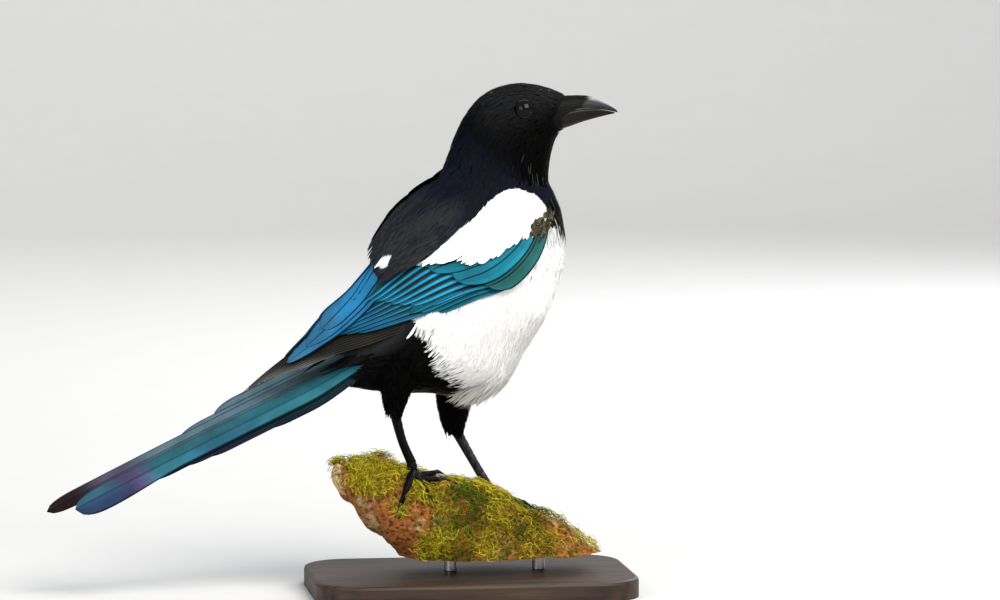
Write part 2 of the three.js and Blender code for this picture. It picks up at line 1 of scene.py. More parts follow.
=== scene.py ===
"""The looks of a life-size Eurasian magpie that stands on a cut length of mossy limb, on a plain stand.

Every length in the tables is in millimetres, in the frame of the packed model: the bird faces +X, its left
side is towards +Y, and the origin is the middle of the base's underside.
"""
import math
import bmesh  # noqa: E402
import bpy  # noqa: E402
import numpy as np  # noqa: E402
from mathutils import Matrix, Vector, kdtree, noise  # noqa: E402


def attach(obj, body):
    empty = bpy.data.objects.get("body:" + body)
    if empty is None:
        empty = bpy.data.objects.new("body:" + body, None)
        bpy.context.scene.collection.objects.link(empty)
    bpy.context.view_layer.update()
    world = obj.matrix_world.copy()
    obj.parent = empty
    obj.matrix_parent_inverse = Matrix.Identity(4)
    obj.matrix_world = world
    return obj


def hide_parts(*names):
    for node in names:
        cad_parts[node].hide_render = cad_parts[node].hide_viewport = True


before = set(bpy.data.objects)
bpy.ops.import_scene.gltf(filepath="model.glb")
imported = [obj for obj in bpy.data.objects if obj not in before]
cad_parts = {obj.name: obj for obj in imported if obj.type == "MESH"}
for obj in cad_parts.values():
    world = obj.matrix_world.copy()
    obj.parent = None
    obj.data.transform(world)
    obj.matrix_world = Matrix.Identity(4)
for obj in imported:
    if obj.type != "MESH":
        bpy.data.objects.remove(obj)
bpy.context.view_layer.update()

bl_info = {
    "name": "Magpie on a limb",
    "version": (1, 0, 0),
    "blender": (4, 5, 0),
    "location": "3D View > Sidebar > Magpie",
    "description": "Builds the skin, feathers, bill, feet, mossy limb and studio of a life-size magpie",
    "category": "Object",
}

MM = 0.001
SEED = 7
BODY_NAME = "root"
TURN = 2 * math.pi

# The bird's shape, as in the solids

HEAD_YAW = math.radians(-8)
NECK_X = 18.0
COAT_DEPTH = 2.4
SKIN_VOXEL = 1.0

# Sections of the body: top x and z, bottom x and z, half width, share of the head's turn.
BODY = np.array([
    [60.0, 300.2, 58.8, 282.0, 6.5, 1],
    [53.2, 303.5, 52.6, 275.5, 10.5, 1],
    [44.7, 306.4, 49.6, 267.0, 15, 1],
    [31.2, 308.5, 48.0, 257.4, 18.5, 1],
    [16.5, 305.8, 47.7, 250.7, 20.5, 1],
    [4.9, 298.7, 48.3, 247.0, 21, 0.9],
    [-4.3, 286.6, 49.9, 244.0, 21.2, 0.75],
    [-10.4, 273.3, 51.4, 239.7, 22, 0.55],
    [-15.0, 260.6, 53.9, 233.6, 24, 0.35],
    [-20.2, 249.7, 55.7, 225.0, 27.5, 0.15],
    [-30.6, 241.3, 57.2, 212.8, 31.5, 0.05],
    [-43.5, 229.3, 57.5, 199.5, 34.5, 0],
    [-52.9, 215.4, 53.2, 183.7, 36.5, 0],
    [-60.2, 199.9, 44.7, 164.3, 37, 0],
    [-64.1, 185.0, 32.8, 145.6, 36, 0],
    [-68.2, 172.9, 20.4, 126.1, 32.5, 0],
    [-72.5, 162.8, -3.1, 119.1, 27, 0],
    [-77.8, 154.7, -27.5, 121.6, 21.5, 0],
    [-84.7, 147.4, -53.0, 122.5, 16.5, 0],
    [-92.6, 141.4, -76.4, 126.2, 11, 0],
])

# Sections of a folded wing: upper edge's x, z and distance from the midline, then the lower edge's.
WING = np.array([
    [-18.0, 251.5, 13, 45.0, 228.5, 30],
    [-31.0, 241.5, 11, 37.0, 206.0, 37],
    [-43.5, 229.5, 9, 21.0, 188.0, 39.5],
    [-53.5, 216.5, 7, -1.0, 180.5, 39.5],
    [-62.5, 202.0, 5, -22.0, 171.5, 37.5],
    [-74.0, 187.5, 3.5, -42.0, 162.5, 33],
    [-88.0, 173.5, 2.5, -64.0, 153.5, 26.5],
    [-101.0, 160.5, 2.5, -86.5, 146.0, 20],
    [-113.5, 148.5, 2.5, -108.5, 135.5, 14.5],
    [-127.0, 136.5, 3, -124.5, 126.5, 11.5],
    [-139.5, 124.5, 5, -138.0, 118.0, 9.5],
])
WING_ROUND = 0.36

# Sections of the limb: top x and z, bottom x and z, half width.
LIMB = np.array([
    [-83.5, 76.5, -84.0, 68.0, 9],
    [-78.0, 81.0, -78.0, 57.0, 19],
    [-62.0, 82.0, -64.0, 42.0, 26],
    [-43.0, 78.5, -48.0, 27.0, 29],
    [-19.0, 69.0, -31.0, 4.0, 30],
    [12.0, 60.5, -14.0, -26.0, 31],
    [43.0, 48.0, 12.0, -58.0, 32],
    [74.0, 26.5, 44.0, -86.0, 32],
    [104.0, 4.0, 74.0, -114.0, 31],
])
PERCH_CUT_Z = 22.0

# Sections of the bill: x, the culmen's z, the cutting edges' z, the lower edge's z, half width.
BILL = np.array([
    [44, 296.0, 285.2, 277.5, 10.2],
    [52, 298.6, 289.4, 279.6, 8.9],
    [60, 300.0, 291.4, 282.0, 7.2],
    [68, 300.0, 292.6, 284.9, 5.5],
    [76, 299.1, 292.7, 287.2, 3.9],
    [83, 296.4, 291.9, 289.0, 2.3],
    [87.6, 293.4, 290.9, 290.0, 1.1],
    [89.4, 291.4, 290.5, 290.3, 0.5],
])
MOUTH_GAP = 0.35

TAIL_ROOT = np.array([-50.0, 0, 150.0])
TAIL_TIP = np.array([-254.0, 0, 50.5])
TAIL_ROLL = math.radians(-26)
TAIL_DROOP = 1.0
# Each side's tail feathers, middle one first: lengths with the root, how far the outer edges stand from the
# midline, and how far the middle one reaches over it.
TAIL_FEATHERS = {
    1: ([212, 190, 168, 146, 132, 92], [20, 20, 20.5, 22, 23.5, 24.5], 1),
    -1: ([228, 210, 192, 168, 138, 114], [11.5, 11, 11.5, 14, 19, 27], 5),
}
TAIL_FLARE = 5

# From the side, x and z: the white shoulder patch's outline, which runs a little below the feathers' lower
# edge, then that edge, where the tips of all the shoulder feathers end, and the small white spot behind them.
SHOULDER_PATCH = np.array([
    [14, 243], [6, 237], [-0.6, 230], [-14, 219], [-27.5, 207], [-38.6, 199.4], [-36, 196], [-16, 198.5],
    [-0.6, 196.8], [14, 204], [24.5, 211], [36.4, 216.8], [43.5, 228], [42, 236], [35.5, 242.8],
    [25.7, 245.9], [19.5, 245.4],
])
SHOULDER_EDGE = np.array([
    [-64, 212], [-56, 188.5], [-38.6, 199], [-27.5, 200.5], [-16, 202], [-0.6, 200.5], [14, 207.5],
    [24.5, 214.5], [36.4, 219.3], [42.8, 229], [47, 244],
])
SCAPULAR_SPOT = np.array([[-60.5, 198], [-55, 205], [-50.2, 206.5], [-53, 199.5]])
# The scaly olive wedge at the wrist, and the line behind which the tail lies outside the vent.
WRIST_WEDGE = np.array([[43, 231.5], [32, 222.5], [31, 216], [37, 214], [45.6, 221], [46.5, 229]])
VENT_END = np.array([[-92, 117], [-81.4, 127.1], [-62.4, 144.6], [-60, 150]])
# Round each body section, from its top: where white starts and ends along the body.
WHITE_ANGLES = np.radians([0, 50, 78, 90, 105, 131, 160, 180])
WHITE_FROM = [13.7, 13.7, 13.4, 9.2, 8.6, 8.6, 9.3, 9.9]
WHITE_TO = [14.7, 14.5, 14.5, 15.1, 15.5, 15.7, 16.2, 17.3]

EYE_X = 33.0
EYE_Z = 292.8
EYE_RADIUS = 6.8
EYE_SUNK = 5.0

# Each leg's shade is painted shade: its colour is multiplied by it, so the right leg under the body is
# painted dark as in shadow, though both legs are alike.
LEGS = {
    "right": {
        "thigh": [[-42, -17, 142], [-47, -17, 126], [-48.5, -16.5, 110.5]],
        "thigh_radii": [13, 9.5, 5],
        "shank": [[-48.2, -16.5, 112], [-43.4, -15, 94], [-37.6, -14, 80.5]],
        "foot": (3.28, -0.5),
        "shade": 0.12,
        "toes": [[0.62, 0.1], [0.55, 0.32], [0.38, -0.3], [-0.3, -0.85]],
    },
    "left": {
        "thigh": [[-4, 17, 137], [-7.5, 17.5, 113], [-7.4, 17, 93.5]],
        "thigh_radii": [13, 10.5, 5.2],
        "shank": [[-6.6, 17, 96], [4, 16, 77], [13.4, 15, 61]],
        "foot": (5.1, 0.5),
        "shade": 1.0,
        "toes": [[0.62, -0.1], [0.5, -0.4], [0.45, 0.3], [-0.5, 0.35]],
    },
}
TOE_RADIUS = 2.3
SHANK_RADII = [3.1, 2.6, 2.8]
TOE_GAP = 0.35
SIDES = {"left": 1, "right": -1}

# One round of the body's and a wing's surface, in places and angles or shares across.
BODY_LAST = len(BODY) - 1
BODY_WRAP = (BODY_LAST, TURN)
WING_WRAP = (len(WING) - 1, 1.0)


# Sizes and colours that a user would change

def colour_property(name, description, default):
    return bpy.props.FloatVectorProperty(
        name=name, description=description, default=default, size=3, min=0, max=1, subtype="COLOR")


class CoatSettings(bpy.types.PropertyGroup):
    """Sizes and colours of the small feathers."""
    crowding: bpy.props.FloatProperty(
        name="Crowding", description="How many small feathers grow, against the usual number",
        default=1.0, min=0.2, max=2.0, subtype="FACTOR")
    black: colour_property("Black", "Black of the head, breast and back", (0.0018, 0.0017, 0.0016))
    bluish: colour_property("Blue gloss", "Gloss of the nape and the neck's sides", (0.0036, 0.0048, 0.0092))
    # The brown gloss colour is also mixed over the top of the crown as painted sheen.
    brownish: colour_property("Brown gloss", "Worn colour of the back", (0.021, 0.0215, 0.0235))
    white: colour_property("White", "White of the belly and shoulders", (0.89, 0.88, 0.86))
    cream: colour_property("Cream", "Warm shade low on the belly", (0.86, 0.76, 0.62))


class FlightSettings(bpy.types.PropertyGroup):
    """Colours of the long feathers."""
    blue: colour_property("Wing blue", "Gloss of the secondaries' outer webs", (0.009, 0.108, 0.235))
    teal: colour_property("Wing teal", "Gloss of the coverts", (0.009, 0.165, 0.235))
    olive: colour_property("Wing olive", "Inner part of the secondaries' webs", (0.008, 0.032, 0.03))
    edge: colour_property("Pale edge", "Worn edges of the primaries", (0.05, 0.045, 0.028))
    tail: colour_property("Tail green", "Gloss of the tail's basal half", (0.02, 0.108, 0.138))
    purple: colour_property("Tail purple", "Band before the tail's tip", (0.066, 0.052, 0.125))


class HornSettings(bpy.types.PropertyGroup):
    """Colours of the bill, eyes and feet."""
    horn: colour_property("Bill", "Dark horn of the bill", (0.012, 0.0115, 0.0125))
    leg: colour_property("Legs", "Front scales of the shanks and toes", (0.052, 0.049, 0.053))
    iris: colour_property("Iris", "Brown of the iris", (0.005, 0.0026, 0.0017))


class PerchSettings(bpy.types.PropertyGroup):
    """The limb's moss and bark."""
    strands: bpy.props.IntProperty(
        name="Moss strands", description="How many strands of moss grow on the limb", default=9600, min=0,
        max=10500)
    strand_length: bpy.props.FloatProperty(
        name="Strand length", description="Usual length of a strand of moss", default=5.0 * MM, min=0.002,
        max=0.02, unit="LENGTH")
    moss: colour_property("Moss", "Golden green of the moss", (0.42, 0.37, 0.010))
    bark: colour_property("Bark", "Rusty brown of the bark", (0.33, 0.106, 0.024))
    wood: colour_property("Wood", "Pale wood of the broken end", (0.72, 0.47, 0.22))


class StageSettings(bpy.types.PropertyGroup):
    """The floor, lights and camera."""
    floor: colour_property("Floor", "Pale grey of the floor", (0.50, 0.495, 0.485))
    distance: bpy.props.FloatProperty(
        name="Camera distance", description="From the camera to the bird", default=2.8, min=1, max=20,
        unit="LENGTH")
    key_power: bpy.props.FloatProperty(
        name="Key light", description="Power of the main light", default=175, min=0, unit="POWER")


SETTINGS = {
    "coat": CoatSettings,
    "flight": FlightSettings,
    "horn": HornSettings,
    "perch": PerchSettings,
    "stage": StageSettings,
}


def settings(group):
    return getattr(bpy.context.scene, f"magpie_{group}")


# Smooth surfaces from the tables

def smoothstep(x, low, high):
    f = np.clip((np.asarray(x, float) - low) / (high - low), 0, 1)
    return f * f * (3 - 2 * f)


def lerp(a, b, f):
    return a + (b - a) * f


def inside_rows(place, last):
    """A place kept inside a table, the row before it, and the share of the way to the next row."""
    inside = np.clip(place, 0, last)
    i = np.clip(np.floor(inside), 0, last - 1).astype(int)
    return inside, i, (inside - i)[..., None]


def between_rows(rows, f):
    """A smooth curve through four rows, at a share of the way from the second to the third."""
    a, b, c, d = rows
    return b + 0.5 * f * (c - a + f * (2 * a - 5 * b + 4 * c - d + f * (3 * (b - c) + d - a)))


def row_at(rows, place):
    """A table's rows at fractional places, smooth through every row and straight past the last."""
    last = len(rows) - 1
    inside, i, f = inside_rows(place, last)
    smooth = between_rows([rows[np.clip(i + k, 0, last)] for k in (-1, 0, 1, 2)], f)
    slope = np.where((place > last)[..., None], rows[last] - rows[last - 1], rows[1] - rows[0])
    return smooth + (place - inside)[..., None] * slope


def yawed(points, share):
    """Points of the head or neck after they take their share of the head's turn."""
    turn = HEAD_YAW * share
    x, y = points[..., 0] - NECK_X, points[..., 1]
    out = points.copy()
    out[..., 0] = np.cos(turn) * x - np.sin(turn) * y + NECK_X
    out[..., 1] = np.sin(turn) * x + np.cos(turn) * y
    return out


def section_surface(rows):
    """A function that gives points of a section table's surface at places, angles and lifts."""
    def surface(place, angle, lift):
        place, angle, lift = np.broadcast_arrays(*(np.asarray(v, float) for v in (place, angle, lift)))
        row = row_at(rows, place)
        half = np.maximum(np.hypot(row[..., 0] - row[..., 2], row[..., 1] - row[..., 3]) / 2, 0.5)
        up = (half + lift) * np.cos(angle) / half
        points = np.stack([
            (row[..., 0] + row[..., 2]) / 2 + (row[..., 0] - row[..., 2]) / 2 * up,
            (np.maximum(row[..., 4], 0.5) + lift) * np.sin(angle),
            (row[..., 1] + row[..., 3]) / 2 + (row[..., 1] - row[..., 3]) / 2 * up,
        ], axis=-1)
        return yawed(points, row[..., 5]) if rows.shape[1] > 5 else points
    return surface


body_surface = section_surface(BODY)
plain_limb = section_surface(LIMB)


def limb_surface(place, angle, lift):
    lumps = 1.6 * np.sin(place * 2.9 + 1.2 * np.cos(angle * 2)) + 1.1 * np.sin(place * 5.3 + angle * 3)
    return plain_limb(place, angle, lift + lumps * np.clip(place, 0, 1))


def wing_row_points(number, across, lift):
    """Points on one section of the folded wing, across from 0 at its upper edge to 1 at its lower one."""
    tx, tz, ty, lx, lz, ly = np.moveaxis(WING[number], -1, 0)
    tall = np.hypot(lx - tx, lz - tz)
    deep = ly - ty
    length = np.hypot(tall, deep)
    bulge = WING_ROUND * tall * deep * (1 - 0.06 * number) / length
    radius = length ** 2 / (8 * bulge) + bulge / 2
    angle = np.arcsin(length / (2 * radius)) * (2 * across - 1)
    out = np.stack([-deep, tall], axis=-1) / length[..., None]
    chord = np.stack([tall, deep], axis=-1)
    centre = chord / 2 + out * (bulge - radius)[..., None]
    spot = (centre + out * ((radius + lift) * np.cos(angle))[..., None]
            + chord / length[..., None] * ((radius + lift) * np.sin(angle))[..., None])
    return np.stack([
        tx + (lx - tx) / tall * spot[..., 0],
        ty + spot[..., 1],
        tz + (lz - tz) / tall * spot[..., 0],
    ], axis=-1)


def wing_surface(side):
    """A function that gives points of one folded wing's surface at places, places across and lifts."""
    def surface(place, across, lift):
        place, across, lift = np.broadcast_arrays(*(np.asarray(v, float) for v in (place, across, lift)))
        last = len(WING) - 1
        inside, i, f = inside_rows(place, last)
        near = [wing_row_points(np.clip(i + k, 0, last), across, lift) for k in (-1, 0, 1, 2)]
        points = between_rows(near, f) + (place - inside)[..., None] * (near[2] - near[1])
        points[..., 1] *= side
        return points
    return surface


def tube_frame(points, radii, count):
    """Centres, two crossing directions and radii along a smooth curve through points."""
    rows = np.column_stack([np.array(points, float), radii])
    place = np.linspace(0, len(points) - 1, count)
    row = row_at(rows, place)
    ahead = row_at(rows, np.minimum(place + 0.02, len(points) - 1))[:, :3]
    behind = row_at(rows, np.maximum(place - 0.02, 0))[:, :3]
    along = ahead - behind
    along /= np.linalg.norm(along, axis=1)[:, None]
    side = np.cross([0, 1, 0], along)
    side /= np.linalg.norm(side, axis=1)[:, None]
    return row[:, :3], side, np.cross(along, side), row[:, 3]


def tube_surface(points, radii):
    """A tapered tube as a surface: places run from 0 to 1 along it, angles round it."""
    rows = np.column_stack([np.array(points, float), radii])
    last = len(points) - 1

    def surface(place, angle, lift):
        place, angle, lift = np.broadcast_arrays(*(np.asarray(v, float) for v in (place, angle, lift)))
        row = row_at(rows, place * last)
        along = row_at(rows, place * last + 0.03)[..., :3] - row_at(rows, place * last - 0.03)[..., :3]
        along /= np.linalg.norm(along, axis=-1)[..., None]
        side = np.cross([0, 1, 0], along)
        side /= np.linalg.norm(side, axis=-1)[..., None]
        out = np.cross(along, side)
        reach = np.maximum(row[..., 3] + lift, 0.3)[..., None]
        return row[..., :3] + reach * (side * np.cos(angle)[..., None] + out * np.sin(angle)[..., None])
    return surface


# Meshes

def facing_out(points, faces):
    """The faces of a closed mesh, turned round where they enclose a negative volume."""
    a, b, c = (points[faces[:, k]] - points.mean(0) for k in (0, 1, 2))
    volume = np.einsum("ij,ij->", a, np.cross(b, c))
    if faces.shape[1] == 4:
        volume += np.einsum("ij,ij->", a, np.cross(c, points[faces[:, 3]] - points.mean(0)))
    return faces if volume > 0 else faces[:, ::-1]


def put_on_points(mesh, name, kind, field, values):
    """A value for each point of a mesh, as an attribute that materials or shading read."""
    mesh.attributes.new(name, kind, "POINT").data.foreach_set(field, np.ravel(values))


def add_object(name, points, faces, material, tint=None, vane=None, uv=None, slot=None, normals=None):
    """One object from arrays of points in millimetres and faces of one size, riding on the model."""
    mesh = bpy.data.meshes.new(name)
    faces = facing_out(np.asarray(points, float), np.asarray(faces, np.int32))
    count, corners = faces.shape
    mesh.vertices.add(len(points))
    mesh.vertices.foreach_set("co", (np.asarray(points, float) * MM).ravel())
    mesh.loops.add(count * corners)
    mesh.loops.foreach_set("vertex_index", faces.ravel())
    mesh.polygons.add(count)
    mesh.polygons.foreach_set("loop_start", np.arange(0, count * corners, corners, dtype=np.int32))
    mesh.update(calc_edges=True)
    mesh.validate()
    mesh.polygons.foreach_set("use_smooth", np.ones(len(mesh.polygons), bool))
    if tint is not None:
        put_on_points(mesh, "tint", "FLOAT_COLOR", "color", np.column_stack([tint, np.ones(len(tint))]))
    if vane is not None:
        put_on_points(mesh, "vane", "FLOAT_VECTOR", "vector", vane)
    if uv is not None:
        loops = np.empty(len(mesh.loops), np.int32)
        mesh.loops.foreach_get("vertex_index", loops)
        mesh.uv_layers.new(name="OFBake").data.foreach_set("uv", np.ravel(uv[loops]))
    if normals is not None:
        put_on_points(mesh, "custom_normal", "FLOAT_VECTOR", "vector", normals)
    mesh.materials.append(material)
    piece = bpy.data.objects.new(name, mesh)
    bpy.context.scene.collection.objects.link(piece)
    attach(piece, BODY_NAME)
    return piece


def grid_faces(rows, columns, wrap=True):
    """Four-cornered faces between the rings of a grid of points."""
    r, c = np.meshgrid(np.arange(rows - 1), np.arange(columns if wrap else columns - 1), indexing="ij")
    a = r * columns + c
    b = r * columns + (c + 1) % columns
    return np.stack([a, b, b + columns, a + columns], axis=-1).reshape(-1, 4)


def closed_loft(rings):
    """Points and four-cornered faces of a closed tube through rings, its ends drawn together."""
    rings = np.asarray(rings, float)
    first, last = rings[0].mean(0), rings[-1].mean(0)
    caps = [np.tile(first, (rings.shape[1], 1)), np.tile(last, (rings.shape[1], 1))]
    full = np.concatenate([caps[0][None], rings, caps[1][None]])
    return full.reshape(-1, 3), grid_faces(*full.shape[:2])


def leaf_template(rings, widths, ridge):
    """One small feather's points as across, along and height, and its faces: a closed leaf with a keel."""
    points = []
    for v, width in zip(rings, widths):
        points += [(-width, v, 0.0), (0.0, v, ridge * width), (width, v, 0.0)]
    points.append((0.0, 1.0, 0.0))
    tip = len(points) - 1
    faces = [(0, 1, 2)]
    for r in range(len(rings) - 1):
        for k in range(3):
            a, b = 3 * r + k, 3 * r + (k + 1) % 3
            faces += [(a, a + 3, b + 3), (a, b + 3, b)]
    end = 3 * (len(rings) - 1)
    faces += [(end + k, tip, end + (k + 1) % 3) for k in range(3)]
    return np.array(points), np.array(faces)


LEAF = leaf_template([0, 0.3, 0.62, 0.88], [0.4, 0.9, 1.0, 0.68], 0.07)
HAIR = leaf_template([0, 0.4, 0.75], [0.7, 1.0, 0.7], 0.5)
FINE_RINGS = np.linspace(0, 0.94, 11)
FINE_WIDTHS = np.interp(FINE_RINGS, [0, 0.3, 0.62, 0.88, 0.94], [0.4, 0.9, 1, 0.7, 0.5])
FINE_LEAF = leaf_template(FINE_RINGS, FINE_WIDTHS, 0.07)


def outward(surface, place, angle):
    """A surface's normals at places and angles."""
    step = 0.03
    along = surface(place + step, angle, 0) - surface(place - step, angle, 0)
    around = surface(place, angle + step, 0) - surface(place, angle - step, 0)
    normal = np.cross(along, around)
    out = surface(place, angle, 1) - surface(place, angle, 0)
    normal *= np.sign(np.sum(normal * out, axis=-1, keepdims=True))
    return normal / np.maximum(np.linalg.norm(normal, axis=-1, keepdims=True), 1e-9)


def measures(surface, place, angle):
    """How many millimetres one place and one angle measure on a surface."""
    step = 0.02
    per_place = np.linalg.norm(surface(place + step, angle, 0) - surface(place - step, angle, 0), axis=-1)
    per_angle = np.linalg.norm(surface(place, angle + step, 0) - surface(place, angle - step, 0), axis=-1)
    return per_place / (2 * step), per_angle / (2 * step)


def leaf_normals(surface, place, angle, points, across):
    """Shading directions of small feathers: the surface's own, leaning out a little towards their edges."""
    edge = points[:, [2]] - points[:, [0]]
    edge /= np.maximum(np.linalg.norm(edge, axis=-1, keepdims=True), 1e-9)
    normal = outward(surface, place, angle) + 0.3 * across[None, :, None] * edge
    return normal / np.linalg.norm(normal, axis=-1, keepdims=True)


def lay_leaves(surface, place, angle, length, width, *, template=LEAF, turn=0.0, rise=(-1.6, 0.5), cup=0.05,
               wrap=(1.0, TURN)):
    """Many small feathers on a surface, one for each place: the number of points in one, all their points and
    faces, and their vane and map coordinates and normals. rise is how far root and tip stand off it."""
    shape, faces = template
    place, angle, length, width, turn = (
        np.broadcast_to(np.asarray(v, float), place.shape)[:, None]
        for v in (place, angle, length, width, turn))
    low, high = (np.broadcast_to(np.asarray(v, float), place.shape[:1])[:, None] for v in rise)
    per_place, per_angle = measures(surface, place, angle)
    across, along, high_off = shape[:, 0], shape[:, 1], shape[:, 2]
    forward = along * length
    sideways = across * width / 2
    to_place = (forward * np.cos(turn) - sideways * np.sin(turn)) / np.maximum(per_place, 1e-3)
    to_angle = (forward * np.sin(turn) + sideways * np.cos(turn)) / np.maximum(per_angle, 1e-3)
    lift = low + (high - low) * along ** 0.7 + high_off * width / 2 - cup * across ** 2 * width / 2
    points = surface(place + to_place, angle + to_angle, lift)
    count = len(place)
    index = (np.arange(count) * len(shape))[:, None, None] + faces
    shade = np.random.default_rng(SEED + count).random(count)
    vane = np.stack(np.broadcast_arrays(across, forward / 10, shade[:, None]), axis=-1)
    patch = np.stack(np.broadcast_arrays(across * 0.0013, along * 0.0028), axis=-1)
    root = np.concatenate([place / wrap[0], (angle / wrap[1]) % 1.0], axis=-1)[:, None, :]
    uv = 0.002 + 0.99 * root + patch
    seen = np.abs(along - 0.7).argmin()
    normal = leaf_normals(surface, place + to_place[:, [seen]], angle + to_angle[:, [seen]], points, across)
    flat = {"vane": vane.reshape(-1, 3), "uv": uv.reshape(-1, 2), "normals": normal.reshape(-1, 3)}
    return len(shape), points.reshape(-1, 3), index.reshape(-1, 3), flat


def scatter(surface, places, angles, pitch, seed):
    """Random places spread evenly over a stretch of surface, about one for each pitch squared."""
    rng = np.random.default_rng(SEED * 1000 + seed)
    p = np.linspace(*places, 121)
    a = np.linspace(*angles, 121)
    grid_p, grid_a = np.meshgrid((p[1:] + p[:-1]) / 2, (a[1:] + a[:-1]) / 2, indexing="ij")
    dp, da = p[1] - p[0], a[1] - a[0]
    u = surface(grid_p + dp / 2, grid_a, 0) - surface(grid_p - dp / 2, grid_a, 0)
    v = surface(grid_p, grid_a + da / 2, 0) - surface(grid_p, grid_a - da / 2, 0)
    area = np.linalg.norm(np.cross(u, v), axis=-1)
    wanted = area / (pitch(grid_p, grid_a) if callable(pitch) else pitch) ** 2 * settings("coat").crowding
    counts = np.floor(wanted + rng.random(wanted.shape)).astype(int)
    place = np.repeat(grid_p.ravel(), counts.ravel())
    angle = np.repeat(grid_a.ravel(), counts.ravel())
    place = place + (rng.random(place.shape) - 0.5) * dp
    angle = angle + (rng.random(angle.shape) - 0.5) * da
    order = np.argsort(-place)
    return place[order], angle[order], rng


def join_parts(parts):
    """Several sets of points and faces as one."""
    offset = 0
    faces = []
    for points, index, *_ in parts:
        faces.append(index + offset)
        offset += len(points)
    rest = [np.concatenate([part[k] for part in parts]) for k in range(2, len(parts[0]))]
    return np.concatenate([part[0] for part in parts]), np.concatenate(faces), *rest


# Markings

def inside_outline(x, z, outline):
    """Which points lie inside a closed outline."""
    inside = np.zeros(np.shape(x), bool)
    for (x1, z1), (x2, z2) in zip(outline, np.roll(outline, -1, axis=0)):
        crosses = (z1 > z) != (z2 > z)
        with np.errstate(divide="ignore", invalid="ignore"):
            where = (x2 - x1) * (z - z1) / (z2 - z1) + x1
        inside ^= crosses & (x < where)
    return inside


def folded_angle(angle):
    """An angle round the body as one from its top, alike on both sides."""
    return np.abs((angle + math.pi) % TURN - math.pi)


def body_whiteness(place, angle, points, jitter=0.0):
    """How white the body is at each point: the belly and flanks, the shoulder patch and the rump band."""
    around = folded_angle(angle)
    start = np.interp(around, WHITE_ANGLES, WHITE_FROM)
    end = np.interp(around, WHITE_ANGLES, WHITE_TO)
    belly = (place > start + jitter) & (place < end + jitter)
    patch = inside_outline(points[..., 0] + 3 * jitter, points[..., 2] + 3 * jitter, SHOULDER_PATCH)
    patch &= np.abs(points[..., 1]) > 12
    rump = 0.45 + 0.55 * (around > 0.85)
    return np.where(belly, rump, 0.0) + np.where(patch & ~belly, 1.0, 0.0)


def body_tint(place, angle, points, jitter=0.0):
    """The coat's and the skin's colour at each point of the body, with a painted sheen on the crown."""
    coat = settings("coat")
    around = folded_angle(angle)
    black, blue, brown = (np.array(c) for c in (coat.black, coat.bluish, coat.brownish))
    nape = smoothstep(place, 5.2, 7.4) * (1 - smoothstep(place, 10.2, 11.4))
    nape = nape * (1 - smoothstep(around, 1.6, 2.4))
    back = smoothstep(place, 8.6, 10.6) * (1 - smoothstep(around, 0.9, 1.3))
    # Painted sheen: the top of the crown is mixed towards the brown gloss colour, standing in for the sheen
    # that light from above puts there.
    crown = (1 - smoothstep(place, 4.2, 6.2)) * (1 - smoothstep(around, 0.7, 1.7)) * 0.45
    colour = black + (blue - black) * nape[..., None]
    colour = colour + (brown - colour) * np.maximum(back, crown)[..., None]
    low = smoothstep(around, 2.0, 2.9) * smoothstep(place, 14.6, 16.6)
    white = np.array(coat.white) + (np.array(coat.cream) - np.array(coat.white)) * low[..., None]
    share = body_whiteness(place, angle, points, jitter)[..., None]
    return colour + (white - colour) * share


def leaf_tints(colour, count_each, rng, spread=0.22):
    """One colour for each leaf, a little lighter or darker, for all of its points."""
    vary = 1 + spread * (rng.random(len(colour)) - 0.5) * 2
    return np.repeat(np.clip(colour * vary[:, None], 0, 0.92), count_each, axis=0)


# Materials

